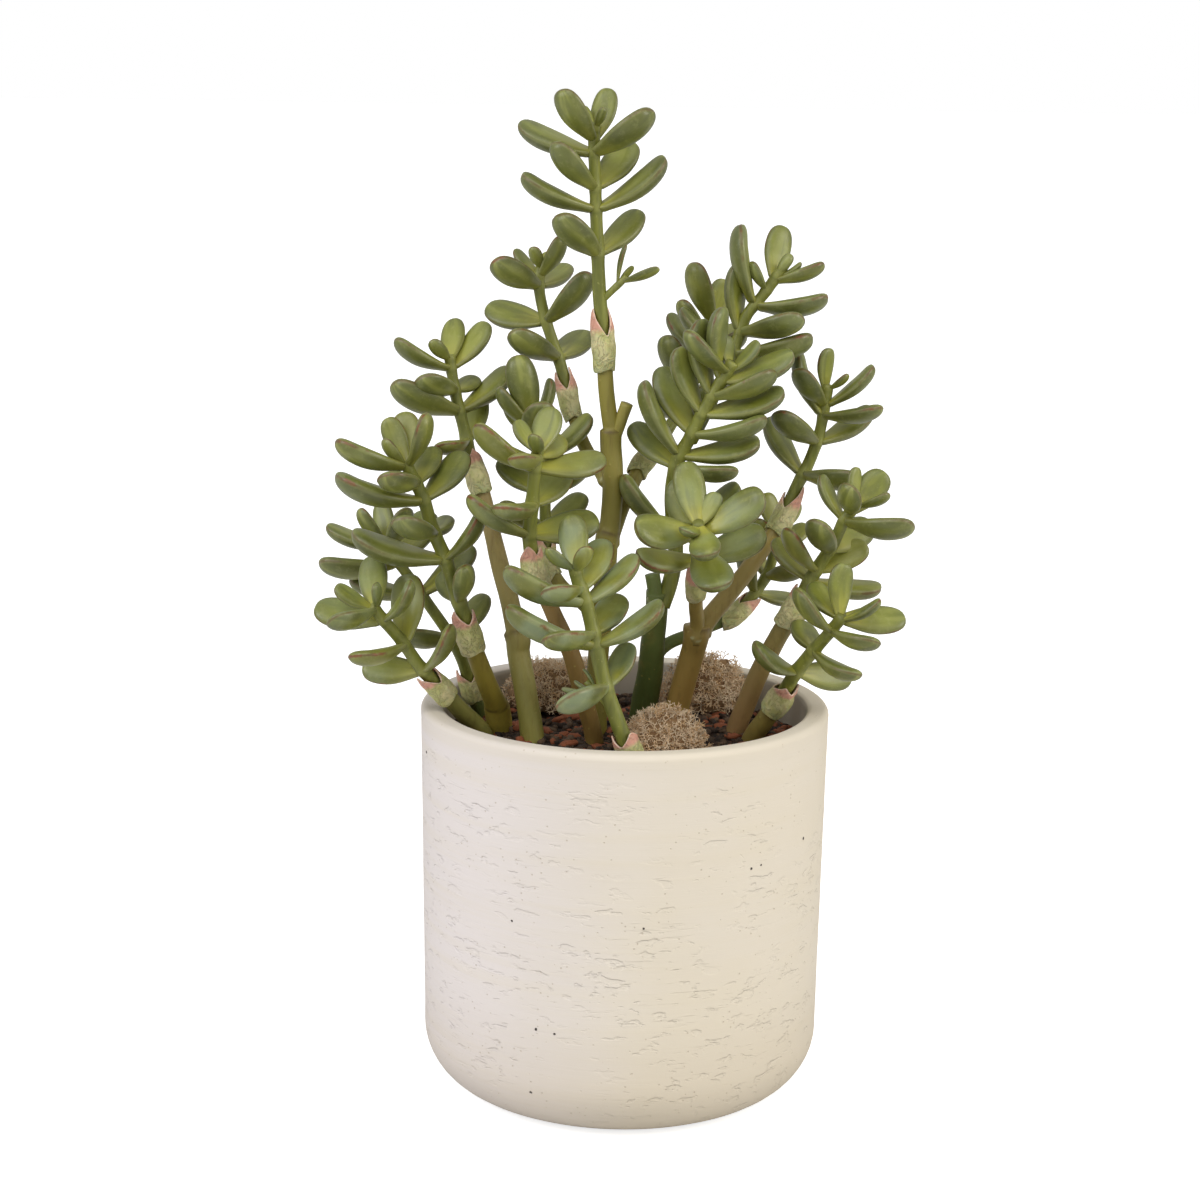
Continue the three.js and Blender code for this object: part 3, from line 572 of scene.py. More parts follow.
def apply_modifier(thing, kind, **settings):
    modifier = thing.modifiers.new(kind.title(), kind)
    for name, value in settings.items():
        setattr(modifier, name, value)
    hold(thing)
    bpy.ops.object.modifier_apply(modifier=modifier.name)


def subdivided(thing, levels):
    apply_modifier(thing, "SUBSURF", levels=levels, render_levels=levels)


def level_with(height):
    """A test for the edges or faces that lie at a height."""
    return lambda part: all(abs(vertex.co.z - height) < NEAR for vertex in part.verts)


def narrowed(by, radius, height):
    """Draws in what is selected towards the pot's axis."""
    share = (radius - by) / radius
    bpy.ops.transform.resize(value=(share, share, 1), center_override=(0, 0, height))


def bevelled(size, steps):
    bpy.ops.mesh.bevel(offset=size, segments=steps, affect="EDGES")


def upright(sides, radius, low, high):
    """A block of many sides that stands from one height to another, with its place in its mesh."""
    bpy.ops.mesh.primitive_cylinder_add(vertices=sides, radius=radius, depth=high - low,
                                        location=(0, 0, (low + high) / 2))
    bpy.ops.object.transform_apply(location=True)
    return bpy.context.object


def placed(name, data):
    """A new object in the scene."""
    made = bpy.data.objects.new(name, data)
    bpy.context.collection.objects.link(made)
    return made


def named(thing, name):
    """Gives an object and its mesh one name."""
    thing.name = name
    thing.data.name = name
    return thing


def forget(thing):
    bpy.data.objects.remove(thing)


def joined(name, pieces):
    hold(*pieces)
    if len(pieces) > 1:
        bpy.ops.object.join()
    return named(bpy.context.object, name)


def mark(mesh, name, values):
    """Stores a number for each vertex of a mesh, or one number for all of them."""
    if not isinstance(values, list):
        values = [values] * len(mesh.vertices)
    layer = mesh.attributes.get(name) or mesh.attributes.new(name, "FLOAT", "POINT")
    layer.data.foreach_set("value", values)


def mark_colour(mesh, name, values):
    layer = mesh.attributes.new(name, "FLOAT_COLOR", "POINT")
    layer.data.foreach_set("color", [channel for value in values for channel in value])


def copy_of(blank, matrix, **values):
    """A copy of a blank with a mesh of its own, put in place by a matrix, and marked with values."""
    mesh = blank.data.copy()
    mesh.transform(matrix)
    for name, value in values.items():
        mark(mesh, name, value)
    return placed(blank.name, mesh)


def place_of(origin, x, y, z):
    """The matrix that puts the three axes of a blank along x, y and z from an origin."""
    return Matrix.Translation(origin) @ Matrix((x, y, z)).transposed().to_4x4()


def finished(piece, node):
    """Shades a piece, ties it to the pot, and lets it stand for its solid."""
    hold(piece)
    bpy.ops.object.shade_smooth()
    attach(piece, "root")
    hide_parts(node)


class Signal:
    """A socket of a finish's nodes that can be used in sums."""

    def __init__(self, finish, socket):
        self.finish = finish
        self.socket = socket

    def __add__(self, other):
        return self.finish.math("ADD", self, other)

    def __radd__(self, other):
        return self.finish.math("ADD", other, self)

    def __sub__(self, other):
        return self.finish.math("SUBTRACT", self, other)

    def __rsub__(self, other):
        return self.finish.math("SUBTRACT", other, self)

    def __mul__(self, other):
        return self.finish.math("MULTIPLY", self, other)

    def __rmul__(self, other):
        return self.finish.math("MULTIPLY", other, self)


class Finish:
    """A material, and the nodes that make it."""

    def __init__(self, name, **constants):
        self.material = bpy.data.materials.new(name)
        self.material.use_nodes = True
        self.tree = self.material.node_tree
        self.shader = self.tree.nodes["Principled BSDF"]
        self.paint(**constants)

    def feed(self, socket, value):
        if isinstance(value, Signal):
            self.tree.links.new(value.socket, socket)
        else:
            socket.default_value = value

    def node(self, kind, settings, sockets, output=0):
        made = self.tree.nodes.new("ShaderNode" + kind)
        for name, value in settings.items():
            setattr(made, name, value)
        for name, value in sockets.items():
            self.feed(made.inputs[name], value)
        return Signal(self, made.outputs[output])

    def paint(self, **sockets):
        for name, value in sockets.items():
            self.feed(self.shader.inputs[name.replace("_", " ").title()], value)
        return self.material

    def math(self, operation, *values):
        return self.node("Math", {"operation": operation}, dict(enumerate(values)))

    def mix(self, share, start, end):
        return self.node("Mix", {"data_type": "RGBA"}, {0: share, 6: start, 7: end}, 2)

    def coats(self, base, *coats):
        """A base colour with coats over it, each a share and a colour."""
        for share, tint in coats:
            base = self.mix(share, base, tint)
        return base

    def step(self, value, low, high, to=1):
        """0 at low and the value of to at high, with a soft step between them."""
        return self.node("MapRange", {"interpolation_type": "SMOOTHSTEP"},
                         {"Value": value, "From Min": low, "From Max": high, "To Min": 0, "To Max": to})

    def read(self, name, output="Fac"):
        """What a piece is marked with."""
        return self.node("Attribute", {"attribute_name": name}, {}, output)

    def place(self, *scale):
        """Places on the object, stretched by a scale along each axis if it is given."""
        spot = self.node("TexCoord", {}, {}, "Object")
        return self.node("Mapping", {}, {"Vector": spot, "Scale": scale}) if scale else spot

    def noise(self, place, scale, detail=2, roughness=0.5, distortion=0):
        return self.node("TexNoise", {}, {"Vector": place, "Scale": scale, "Detail": detail,
                                          "Roughness": roughness, "Distortion": distortion})

    def cells(self, place, scale):
        return self.node("TexVoronoi", {}, {"Vector": place, "Scale": scale}, "Distance")

    def bump(self, height, distance, strength=1):
        return self.node("Bump", {}, {"Height": height, "Distance": distance, "Strength": strength}, "Normal")


# Leaf skin: yellow-green at the root, deep green to the tip, with a red-brown line along the edge, a pale
# painted highlight along the rim, and a darker lower face that is partly painted shade
LEAF_ROOT_GREEN = colour("b2ae48")
LEAF_GREEN = colour("82872f")
LEAF_TIP_GREEN = colour("646b38")
LEAF_UNDER_GREEN_AND_SHADE = colour("666a2e")
LEAF_DARK = colour("474c26")
LEAF_LIT_GREEN = colour("9a9d4e")
LEAF_YOUNG_GREEN = colour("8d9143")
LEAF_BLOOM = colour("93a382")
LEAF_EDGE_RED = colour("7c431c")
LEAF_EDGE_BROWN = colour("604d24")
LEAF_PALE_FLECK_AND_HIGHLIGHT = colour("a5a669")


def leaf_finish():
    """The skin of the leaves. Its streaks run along each leaf and differ from leaf to leaf."""
    finish = Finish("leaf_skin", subsurface_weight=0.1, subsurface_scale=0.0015,
                    subsurface_radius=(0.6, 1.0, 0.2), coat_weight=0.22, coat_roughness=0.28)
    along = finish.read("along")
    crest = finish.read("crest")
    above = finish.read("above")
    across = finish.read("across")
    tone = finish.read("tone")
    place = finish.place()
    lanes = finish.node("CombineXYZ", {}, {"X": across * 1.3, "Y": along * 1.1, "Z": tone * 9 + above * 3})
    streak = finish.noise(lanes, 1, 3, 0.45, 0.3)
    cloud = finish.noise(place, 42, 2)
    blotch = finish.noise(place, 110, 3, 0.6)
    wear = finish.noise(place, 130, 4, 0.65)
    mottle = finish.noise(place, 420, 3, 0.65)
    speck = finish.noise(place, 1500, 2, 0.6)
    margin = finish.math("ABSOLUTE", across)
    shade = finish.step(cloud + tone * 0.1, 0.54, 0.74, 0.5) * finish.step(along, 0.15, 0.5)
    bloom = finish.step(finish.noise(place, 70, 1), 0.4, 0.62) * finish.read("bloom")
    rim = finish.step(crest + mottle * 0.3, 0.4, 0.16) * finish.step(along + wear * 0.8, 0.95, 1.3)
    worn = finish.step(wear + tone * 0.2 + along * 0.16, 0.66, 0.8)
    line = finish.step(crest + mottle * 0.4, 0.46, 0.22) * finish.step(along, 0.35, 0.65) * worn
    red = finish.mix(finish.step(finish.noise(place, 300, 2), 0.42, 0.6), LEAF_EDGE_BROWN, LEAF_EDGE_RED)
    skin = finish.coats(
        LEAF_GREEN,
        (finish.step(along + blotch * 0.2, 0.68, 0.14, 0.9), LEAF_ROOT_GREEN),
        (finish.step(along, 0.6, 1, 0.6), LEAF_TIP_GREEN),
        # The lower face of each leaf is darker: partly its own duller green, partly painted shade.
        (finish.step(above, 0.6, 0, 0.6), LEAF_UNDER_GREEN_AND_SHADE),
        (finish.read("young") * 0.3, LEAF_YOUNG_GREEN),
        (finish.step(streak, 0.5, 0.66, 0.55), LEAF_LIT_GREEN),
        (finish.step(streak, 0.5, 0.34, 0.4), LEAF_DARK),
        (finish.step(margin + blotch * 0.3, 0.65, 1.1, 0.5), LEAF_DARK),
        (shade, LEAF_DARK),
        (finish.step(tone + blotch, 0.8, 1.7, 0.3), LEAF_ROOT_GREEN),
        (finish.step(mottle, 0.5, 0.72, 0.2), LEAF_PALE_FLECK_AND_HIGHLIGHT),
        (bloom * 0.5, LEAF_BLOOM),
        # A pale line along each leaf's rim: a painted highlight.
        (finish.step(crest + mottle * 0.1, 0.32, 0.16, 0.25), LEAF_PALE_FLECK_AND_HIGHLIGHT),
        (rim * 0.75, LEAF_EDGE_BROWN),
        (line * 0.85, red),
        (finish.step(speck, 0.64, 0.78, 0.3), LEAF_PALE_FLECK_AND_HIGHLIGHT),
    )
    relief = blotch * 0.7 + mottle * 0.25 + speck * 0.1
    return finish.paint(base_color=skin, roughness=0.33 + 0.22 * blotch,
                        normal=finish.bump(relief, 0.3 * MM, 0.6))


STEM_GREEN = colour("838638")
STEM_DARK = colour("676b2b")
STEM_PALE = colour("a3a45c")


def stem_finish():
    finish = Finish("stem_skin", subsurface_weight=0.08, subsurface_scale=0.0015,
                    subsurface_radius=(0.6, 1.0, 0.25))
    streak = finish.noise(finish.place(300, 300, 60), 1, 3, 0.6)
    skin = finish.coats(
        STEM_GREEN,
        (finish.step(streak, 0.35, 0.7), STEM_DARK),
        (finish.read("knot") * 0.35, STEM_PALE),
        (finish.read("seam"), STEM_DARK),
        (finish.step(finish.noise(finish.place(), 700, 1), 0.7, 0.78, 0.6), STEM_PALE),
    )
    return finish.paint(base_color=skin, roughness=0.42 + 0.1 * streak,
                        normal=finish.bump(streak, 0.2 * MM, 0.5))


BARK_BROWN = colour("5a461e")
BARK_PALE = colour("a8994f")
BARK_SCAR = colour("c9c79a")


def cane_finish():
    finish = Finish("cane_bark", subsurface_weight=0.04, subsurface_scale=0.002)
    streak = finish.noise(finish.place(420, 420, 45), 1, 4, 0.65)
    grain = finish.noise(finish.place(900, 900, 240), 1, 2, 0.6)
    cloud = finish.noise(finish.place(), 70, 3, 0.6)
    pimple = finish.step(finish.cells(finish.place(), 260), 0.16, 0.05)
    bark = finish.coats(
        finish.read("bark", "Color"),
        (finish.step(streak, 0.5, 0.75, 0.35), BARK_BROWN),
        (finish.step(cloud, 0.52, 0.75, 0.25), BARK_PALE),
        (finish.read("seam"), BARK_BROWN),
        (finish.read("scar"), BARK_SCAR),
        (pimple * 0.5, BARK_PALE),
    )
    return finish.paint(base_color=bark, roughness=0.42 + 0.2 * streak,
                        normal=finish.bump(streak * 0.6 + grain * 0.4 + pimple * 0.5, 0.35 * MM, 0.7))


SHEATH_GREEN = colour("bfbe7c")
SHEATH_CREAM = colour("d6cd9a")
SHEATH_SHADE = colour("98a47c")
SHEATH_CREASE_SHADE_AND_FLECK = colour("8d8c5e")
SHEATH_PINK = colour("dca18d")
SHEATH_EDGE = colour("ecd0bb")


def sheath_finish():
    """Dry crumpled paper, blushing pink where its lobes stand out of the joint, with painted shade in its
    creases and folds.
    """
    finish = Finish("sheath_paper", roughness=0.62, subsurface_weight=0.1, subsurface_scale=0.001)
    place = finish.place()
    crumple = finish.noise(place, 260, 4, 0.62, 1.2)
    fine = finish.noise(place, 900, 3, 0.6, 0.6)
    crease = finish.step(finish.math("ABSOLUTE", crumple - 0.5), 0.035, 0)
    low = finish.read("low")
    skin = finish.coats(
        SHEATH_GREEN,
        (finish.step(finish.noise(place, 120, 2), 0.38, 0.62), SHEATH_CREAM),
        (finish.step(crumple, 0.48, 0.64) * low * 0.6, SHEATH_SHADE),
        # Painted shade: the creases of the crumpled paper are darker, most of all in its lower part.
        (crease * (0.2 + low * 0.45), SHEATH_CREASE_SHADE_AND_FLECK),
        (finish.step(finish.read("blush") + crumple * 0.3, 0.2, 0.5, 0.95), SHEATH_PINK),
        (finish.step(finish.read("hem"), 0.5, 1, 0.75), SHEATH_EDGE),
        (finish.step(fine, 0.56, 0.75, 0.2), SHEATH_CREASE_SHADE_AND_FLECK),
    )
    relief = crumple - crease * 0.4 + fine * 0.25
    return finish.paint(base_color=skin, normal=finish.bump(relief, 0.7 * MM, 0.8))


POT_CREAM = colour("dfd6c7")
POT_BLUSH = colour("e2dad6")
# The darker clay of the pits, which also serves as the painted shade towards the pot's foot
POT_STRAW = colour("ddd2bb")
POT_PIT_AND_FOOT_SHADE = colour("b9aa92")
POT_HOLE = colour("4a443f")
POT_RIM = colour("d8ceba")
# The grey of the pot's inner wall is painted shade
POT_INSIDE_SHADE = colour("a79f92")

# Where the pot's wall turns rosy on its left, darker towards its foot (painted shade), straw at its rim, and
# smooth below the rim
BLUSH_EDGES = (35 * MM, -55 * MM)
FOOT_SHADE = (60 * MM, 5 * MM)
RIM_BAND = (POT_HEIGHT - 10 * MM, POT_HEIGHT)
SMOOTH_BAND = (POT_HEIGHT - 6 * MM, POT_HEIGHT - 20 * MM)

# The few small dark holes in the pot's wall, as seen from the front: across, height and radius in millimetres
POT_HOLES = [(-76.5, 138.5, 0.9), (47.7, 106.5, 0.7), (51.5, 107, 0.6), (68.7, 111.3, 0.8), (7.6, 87.6, 0.6),
             (-41.5, 86, 0.6), (-32, 45, 0.7), (-25, 44.3, 0.6), (-34, 19, 1.0)]


def hole_place(across, up):
    """The point of the pot's front at a distance across it and a height."""
    radius = FOOT_RADIUS + (RIM_RADIUS - FOOT_RADIUS) * up / POT_HEIGHT
    return (across, -math.sqrt(max(radius ** 2 - across ** 2, 0)), up)


def pot_finish():
    """Brushed clay with small pits and grooves in patches, dots, and the few dark holes, and painted shade
    towards its foot and on its inner wall.
    """
    finish = Finish("pot_clay")
    place = finish.place()
    across = finish.node("SeparateXYZ", {}, {"Vector": place}, "X")
    height = finish.node("SeparateXYZ", {}, {"Vector": place}, "Z")
    cloud = finish.noise(place, 9, 3, 0.6)
    brush = finish.noise(finish.place(50, 50, 1500), 1, 4, 0.7)
    band = finish.noise(finish.place(8, 8, 260), 1, 2, 0.6)
    dent = finish.noise(finish.place(120, 120, 300), 1, 3, 0.5, 0.3)
    scratch = finish.noise(finish.place(70, 70, 800), 1, 2, 0.6, 0.3)
    patch = finish.step(finish.noise(place, 22, 2), 0.34, 0.56)
    pit = finish.step(dent, 0.575, 0.67) * patch
    groove = finish.step(scratch, 0.62, 0.74) * patch
    dotted = finish.step(finish.noise(place, 75, 1), 0.4, 0.56)
    dot = finish.step(finish.cells(place, 330), 0.15, 0.07) * dotted
    ragged = finish.noise(finish.place(500, 500, 1100), 1, 2, 0.6)
    hole = 0
    for aside, up, radius in POT_HOLES:
        centre = hole_place(aside * MM, up * MM)
        spot = finish.node("VectorMath", {"operation": "DISTANCE"}, {0: place, 1: centre}, "Value")
        hole = hole + finish.step(spot + ragged * radius * MM, radius * 1.4 * MM, radius * MM)
    clay = finish.coats(
        POT_CREAM,
        (finish.step(cloud, 0.35, 0.65, 0.5), POT_STRAW),
        (finish.step(across + 0.03 * cloud, *BLUSH_EDGES), POT_BLUSH),
        (finish.step(band, 0.4, 0.75, 0.25), POT_STRAW),
        (finish.step(height, *RIM_BAND, 0.3), POT_RIM),
        # Painted shade: the clay darkens towards the foot of the pot.
        (finish.step(height, *FOOT_SHADE, 0.35), POT_PIT_AND_FOOT_SHADE),
        (groove * 0.06 + dot * 0.5, POT_PIT_AND_FOOT_SHADE),
        # Painted shade: the inner wall of the pot is painted a darker grey.
        (finish.read("inside"), POT_INSIDE_SHADE),
        (hole, POT_HOLE),
    )
    worked = (pit + groove * 0.3 + dot * 0.4) * finish.step(height, *SMOOTH_BAND)
    relief = brush * 0.16 + band * 0.2 - worked - hole * 2
    return finish.paint(base_color=clay, roughness=0.72 + 0.2 * brush,
                        normal=finish.bump(relief, 0.4 * MM, 0.9))


SOIL_BLACK = colour("211810")
SOIL_BROWN = colour("412c1c")
SOIL_GREY = colour("6b543e")
SOIL_RED = colour("8c4f30")


def soil_finish():
    finish = Finish("soil_crumb")
    grit = finish.noise(finish.place(), 420, 4, 0.7)
    tone = finish.read("tone")
    earth = finish.coats(
        SOIL_BLACK,
        (finish.step(grit, 0.4, 0.65), SOIL_BROWN),
        (finish.step(tone, 0.15, 0.5, 0.8), SOIL_GREY),
        (finish.step(tone, 0.55, 0.9), SOIL_RED),
    )
    return finish.paint(base_color=earth, roughness=0.95 - 0.3 * grit, normal=finish.bump(grit, 0.8 * MM))


MOSS_TAN = colour("e0bc8e")
MOSS_PALE = colour("f0dbbd")
MOSS_DARK = colour("8a6d4c")


def moss_finish():
    finish = Finish("moss_fibre", roughness=0.9)
    tone = finish.read("tone")
    grain = finish.noise(finish.place(), 1500, 2)
    fibre = finish.coats(
        MOSS_DARK,
        (finish.step(tone, 0, 0.5), MOSS_TAN),
        (finish.step(tone, 0.5, 1), MOSS_PALE),
        (finish.step(grain, 0.5, 0.8, 0.4), MOSS_DARK),
    )
    return finish.paint(base_color=fibre, normal=finish.bump(grain, 0.2 * MM))


def wrapped(sides, rings, place_at, **marks):
    """A grid rolled into a closed sleeve. A vertex gets its place and marks by its turn, 0 to 1, and ring."""
    bpy.ops.mesh.primitive_grid_add(x_subdivisions=sides, y_subdivisions=rings, size=2)
    sleeve = bpy.context.object
    mesh = sleeve.data
    grid = [((vertex.co.x + 1) / 2, round((vertex.co.y + 1) / 2 * rings)) for vertex in mesh.vertices]
    for name, value_at in marks.items():
        mark(mesh, name, [value_at(turn, ring) for turn, ring in grid])
    for vertex, (turn, ring) in zip(mesh.vertices, grid):
        vertex.co = place_at(turn, ring)
    work_all(sleeve, bpy.ops.mesh.remove_doubles, threshold=WELD)
    return sleeve


def rod(stations, sides, spacing, shape, **marks):
    """A closed stick along stations in millimetres. The shape gives its radius from the distance, the turn
    and the plain radius, and each mark gives its vertices a value from the distance and the turn."""
    route = Route(stations)
    rings = max(3, round(route.length / spacing))
    hoops = []
    side = TO_RIGHT
    for ring in range(rings + 1):
        distance = route.length * ring / rings
        t = route.share(distance)
        tangent = route.tangent(t)
        side = square_to(tangent, side)
        hoops.append((route.at(t), side, tangent.cross(side), route.radius(t), distance))

    def place_at(turn, ring):
        point, right, back, radius, distance = hoops[ring]
        angle = 2 * math.pi * turn
        outwards = right * math.cos(angle) + back * math.sin(angle)
        return (point + outwards * shape(distance, angle, radius)) * MM

    def by_place(value_at):
        return lambda turn, ring: value_at(hoops[ring][4], 2 * math.pi * turn)

    stick = wrapped(sides, rings, place_at, **{name: by_place(value_at) for name, value_at in marks.items()})
    work_all(stick, bpy.ops.mesh.fill_holes, sides=0)
    work_all(stick, bpy.ops.mesh.normals_make_consistent, inside=False)
    return stick


# Bark colours of each cane, at its foot and at its top
BARK = {
    "cane_middle": ("80772f", "93893f"),
    "cane_left_high": ("8f8a42", "a08c58"),
    "cane_left": ("988834", "8f8032"),
    "cane_left_low": ("797738", "827f44"),
    "cane_left_back": ("5a6934", "65753b"),
    "cane_front_left": ("7d6430", "896e3a"),
    "cane_front": ("6c5930", "6e6a38"),
    "cane_fork": ("b4924c", "998546"),
    "cane_right_middle": ("94764a", "8c8044"),
    "cane_right_low": ("7d6d33", "807b36"),
    "right_high": ("4c5a28", "68753a"),
}


def cane_run(name, order, stations, bark):
    """One run of a cane: slightly lumpy, with a dark line at each ring, and a collar with a scar at its foot
    where it is a branch."""
    low, high = (colour(code) for code in BARK[name])
    seed = Vector((order * 7.3, len(name) * 3.1, 0))
    rings = ring_distances(Route(stations))
    is_branch = order > 0

    def shape(distance, angle, radius):
        spot = Vector((math.cos(angle), math.sin(angle), distance / 14)) + seed
        lump = 1 + CANE_LUMP * noise.noise(spot) + CANE_KNOBS * noise.noise(spot * 3.1)
        collar = COLLAR * peak(distance - COLLAR_PLACE, COLLAR_WIDTH) if is_branch else 0
        return radius * (lump + collar)

    def seam_at(distance, angle):
        wobble = 0.4 * math.sin(2 * angle + len(name))
        return SEAM_DEPTH * max([peak(distance - ring + wobble, SEAM_WIDTH) for ring in rings], default=0)

    def scar_at(distance, angle):
        reach = 3.4 + 1.6 * math.cos(angle - 2.6)
        return SEAM_DEPTH * peak(distance - reach, SCAR_WIDTH) if is_branch else 0

    stick = rod(stations, CANE_SIDES, CANE_SPACING, shape, seam=seam_at, scar=scar_at)
    top = max(stations[-1][2] * MM, SOIL_TOP + 60 * MM)
    shades = []
    for vertex in stick.data.vertices:
        share = 1 if is_branch else smooth(vertex.co.z, SOIL_TOP, top)
        shades.append([a + (b - a) * share for a, b in zip(low, high)])
    mark_colour(stick.data, "bark", shades)
    stick.data.materials.append(bark)
    return stick


def ring_distances(route):
    """Where along a route its radius drops at once, which is a growth ring."""
    found = []
    for i in range(1, route.spans + 1):
        drop = route.radii[i - 1] - route.radii[i]
        apart = (route.points[i + 1] - route.points[i]).length
        if drop > RING_DROP and apart < RING_STATIONS_APART:
            found.append(route.marks[min(round((i - 0.5) / route.spans * route.SAMPLES), route.SAMPLES)])
    return found


def canes(bark):
    for name, runs in CANES.items():
        sticks = [cane_run(name, order, run, bark) for order, run in enumerate(runs)]
        finished(joined(name.replace("cane", "wood"), sticks), name)


def outline(t):
    """Half the width of a leaf at t, as a share of the most."""
    if t < BROADEST:
        return PETIOLE + (1 - PETIOLE) * math.sin(math.pi / 2 * t / BROADEST) ** ROOT_POWER
    fall = (t - BROADEST) / (1 - BROADEST)
    return max(0, 1 - fall ** TIP_POWER) ** (1 / TIP_POWER)


def leaf_blank(skin):
    """A leaf of length 1 along +Z from its root, its upper face towards +Y: a ball shaped ring by ring."""
    bpy.ops.mesh.primitive_uv_sphere_add(segments=LEAF_SIDES, ring_count=LEAF_RINGS, radius=1)
    leaf = bpy.context.object
    leaf.name = "leaf_blank"
    leaf.data.materials.append(skin)
    heights = sorted({round(vertex.co.z, 4) for vertex in leaf.data.vertices})
    edit(leaf)
    for height in heights[1:-1]:
        t = (1 + height) / 2
        ring = math.sqrt(1 - height * height)
        level = lambda vertex: abs(vertex.co.z - height) < BLANK_NEAR
        centre = (0, 0, height)
        pick("VERT", level)
        wide = LEAF_WIDTH / 2 * outline(t) / ring
        bpy.ops.transform.resize(value=(wide, 1, 1), center_override=centre)
        deep = LEAF_THICKNESS * max(outline(t), ROOT_DEPTH * smooth(t, 0.6, 0)) / ring
        pick("VERT", lambda vertex: level(vertex) and vertex.co.y > BLANK_NEAR)
        bpy.ops.transform.resize(value=(1, deep * UPPER_SHARE, 1), center_override=centre)
        pick("VERT", lambda vertex: level(vertex) and vertex.co.y < -BLANK_NEAR)
        bpy.ops.transform.resize(value=(1, deep * (1 - UPPER_SHARE), 1), center_override=centre)
    pick("EDGE", lambda edge: all(abs(vertex.co.y) < BLANK_NEAR for vertex in edge.verts))
    bpy.ops.transform.edge_crease(value=LEAF_CREASE)
    done()
    subdivided(leaf, 1)
    fit_leaf(leaf.data)
    return leaf


def fit_leaf(mesh):
    """Brings a smoothed leaf back to its full size, bends it down along its middle and marks its skin."""
    wide = max(vertex.co.x for vertex in mesh.vertices)
    high = max(vertex.co.y for vertex in mesh.vertices)
    low = -min(vertex.co.y for vertex in mesh.vertices)
    long = max(vertex.co.z for vertex in mesh.vertices)
    marks = {"along": [], "crest": [], "above": [], "across": []}
    for vertex in mesh.vertices:
        x, y, z = vertex.co
        t = (z / long + 1) / 2
        share = y / (high if y > 0 else low)
        across = max(-1, min(x / (wide * max(outline(t), 0.1)), 1))
        centred = 1 - across ** 2
        x *= LEAF_WIDTH / 2 / wide
        y = share * LEAF_THICKNESS * (UPPER_SHARE if y > 0 else 1 - UPPER_SHARE)
        y *= 1 - LEAF_CHANNEL * centred * smooth(t, 1, 0.7) if share > 0 else 1
        marks["along"].append(t)
        marks["crest"].append(abs(share))
        marks["above"].append(1.0 if share > 0 else 0.0)
        marks["across"].append(across)
        vertex.co = (x, y - 4 * LEAF_SAG * t * (1 - t), t)
    for name, values in marks.items():
        mark(mesh, name, values)


def leaf_on(blank, index, root, direction, up, size, slim, young, bloom):
    """A leaf in its place, with a twist, a curl and a bend of its own."""
    twist = math.radians(LEAF_TWIST * vary(5 * index + 2))
    curl = LEAF_CURL * vary(11 * index + 4)
    bend = LEAF_BEND * vary(17 * index + 6)
    across = up.cross(direction)
    width = size * slim * (1 + LEAF_SPREAD * vary(3 * index + 1))
    length = size * (1 + LENGTH_SPREAD * vary(index))
    matrix = place_of(root * MM, across * width * MM, up * size * slim * MM, direction * length * MM)
    leaf = copy_of(blank, Matrix.Identity(4), tone=vary(13 * index + 5), young=young, bloom=bloom)
    shares = [vertex.co.z for vertex in leaf.data.vertices]
    for vertex in leaf.data.vertices:
        x, y, z = vertex.co
        turn = twist * z
        x, y = x * math.cos(turn) - y * math.sin(turn), x * math.sin(turn) + y * math.cos(turn)
        vertex.co = (x + bend * z * (1 - z), y + curl * z * z, z)
    leaf.data.transform(matrix)
    keep_inside(leaf.data, shares)
    return leaf


def keep_inside(mesh, shares):
    """Draws back the outer end of a leaf that would stand out of the box of the solids."""
    low, high = CAD_BOX
    for axis in range(3):
        values = [vertex.co[axis] for vertex in mesh.vertices]
        over = max(0, max(values) - high[axis]) + min(0, min(values) - low[axis])
        if over:
            for vertex, share in zip(mesh.vertices, shares):
                vertex.co[axis] -= over * smooth(share, 0, 0.7)


def splayed(tangent, turn, splay):
    """The directions of what stands out of a stem, turned about it and splayed from it."""
    side = square_to(tangent, TO_RIGHT)
    back = tangent.cross(side)
    angle = math.radians(turn)
    tilt = math.radians(splay)
    away = side * math.cos(angle) + back * math.sin(angle)
    direction = tangent * math.cos(tilt) + away * math.sin(tilt)
    up = tangent * math.sin(tilt) - away * math.cos(tilt)
    return away, direction, up


def leaves_of(stalk, first, blank, bloom):
    """The leaves of one stem: those in front show their undersides, and those behind it their upper sides."""
    route = Route(stalk["stem"])
    slim = stalk.get("slim", 1)
    facing = stalk.get("facing", LEAF_FACING)
    made = []
    for pair, (distance, length, turn, *splays) in enumerate(stalk["pairs"]):
        sizes = length if isinstance(length, list) else [length, length]
        turns = turn if isinstance(turn, list) else [turn, turn + 180]
        t = route.share(min(distance, route.length - TIP_ROOM))
        point = route.at(t)
        tangent = route.tangent(t)
        young = smooth(sizes[0], *YOUNG_LENGTHS)
        for leaf, splay in enumerate(splays):
            index = first + 2 * pair + leaf
            away, direction, up = splayed(tangent, turns[leaf], splay)
            viewer = TO_FRONT - direction * TO_FRONT.dot(direction)
            share = min(1, facing * math.sin(math.radians(splay)) ** 2)
            up = (up - viewer * share * away.dot(TO_FRONT)).normalized()
            roll = Matrix.Rotation(math.radians(LEAF_ROLL * vary(7 * index + 3)), 3, direction)
            root = point + away * ROOT_OFFSET * stalk["radius"][1]
            made.append(leaf_on(blank, index, root, direction, roll @ up, sizes[leaf], slim, young, bloom))
    return made


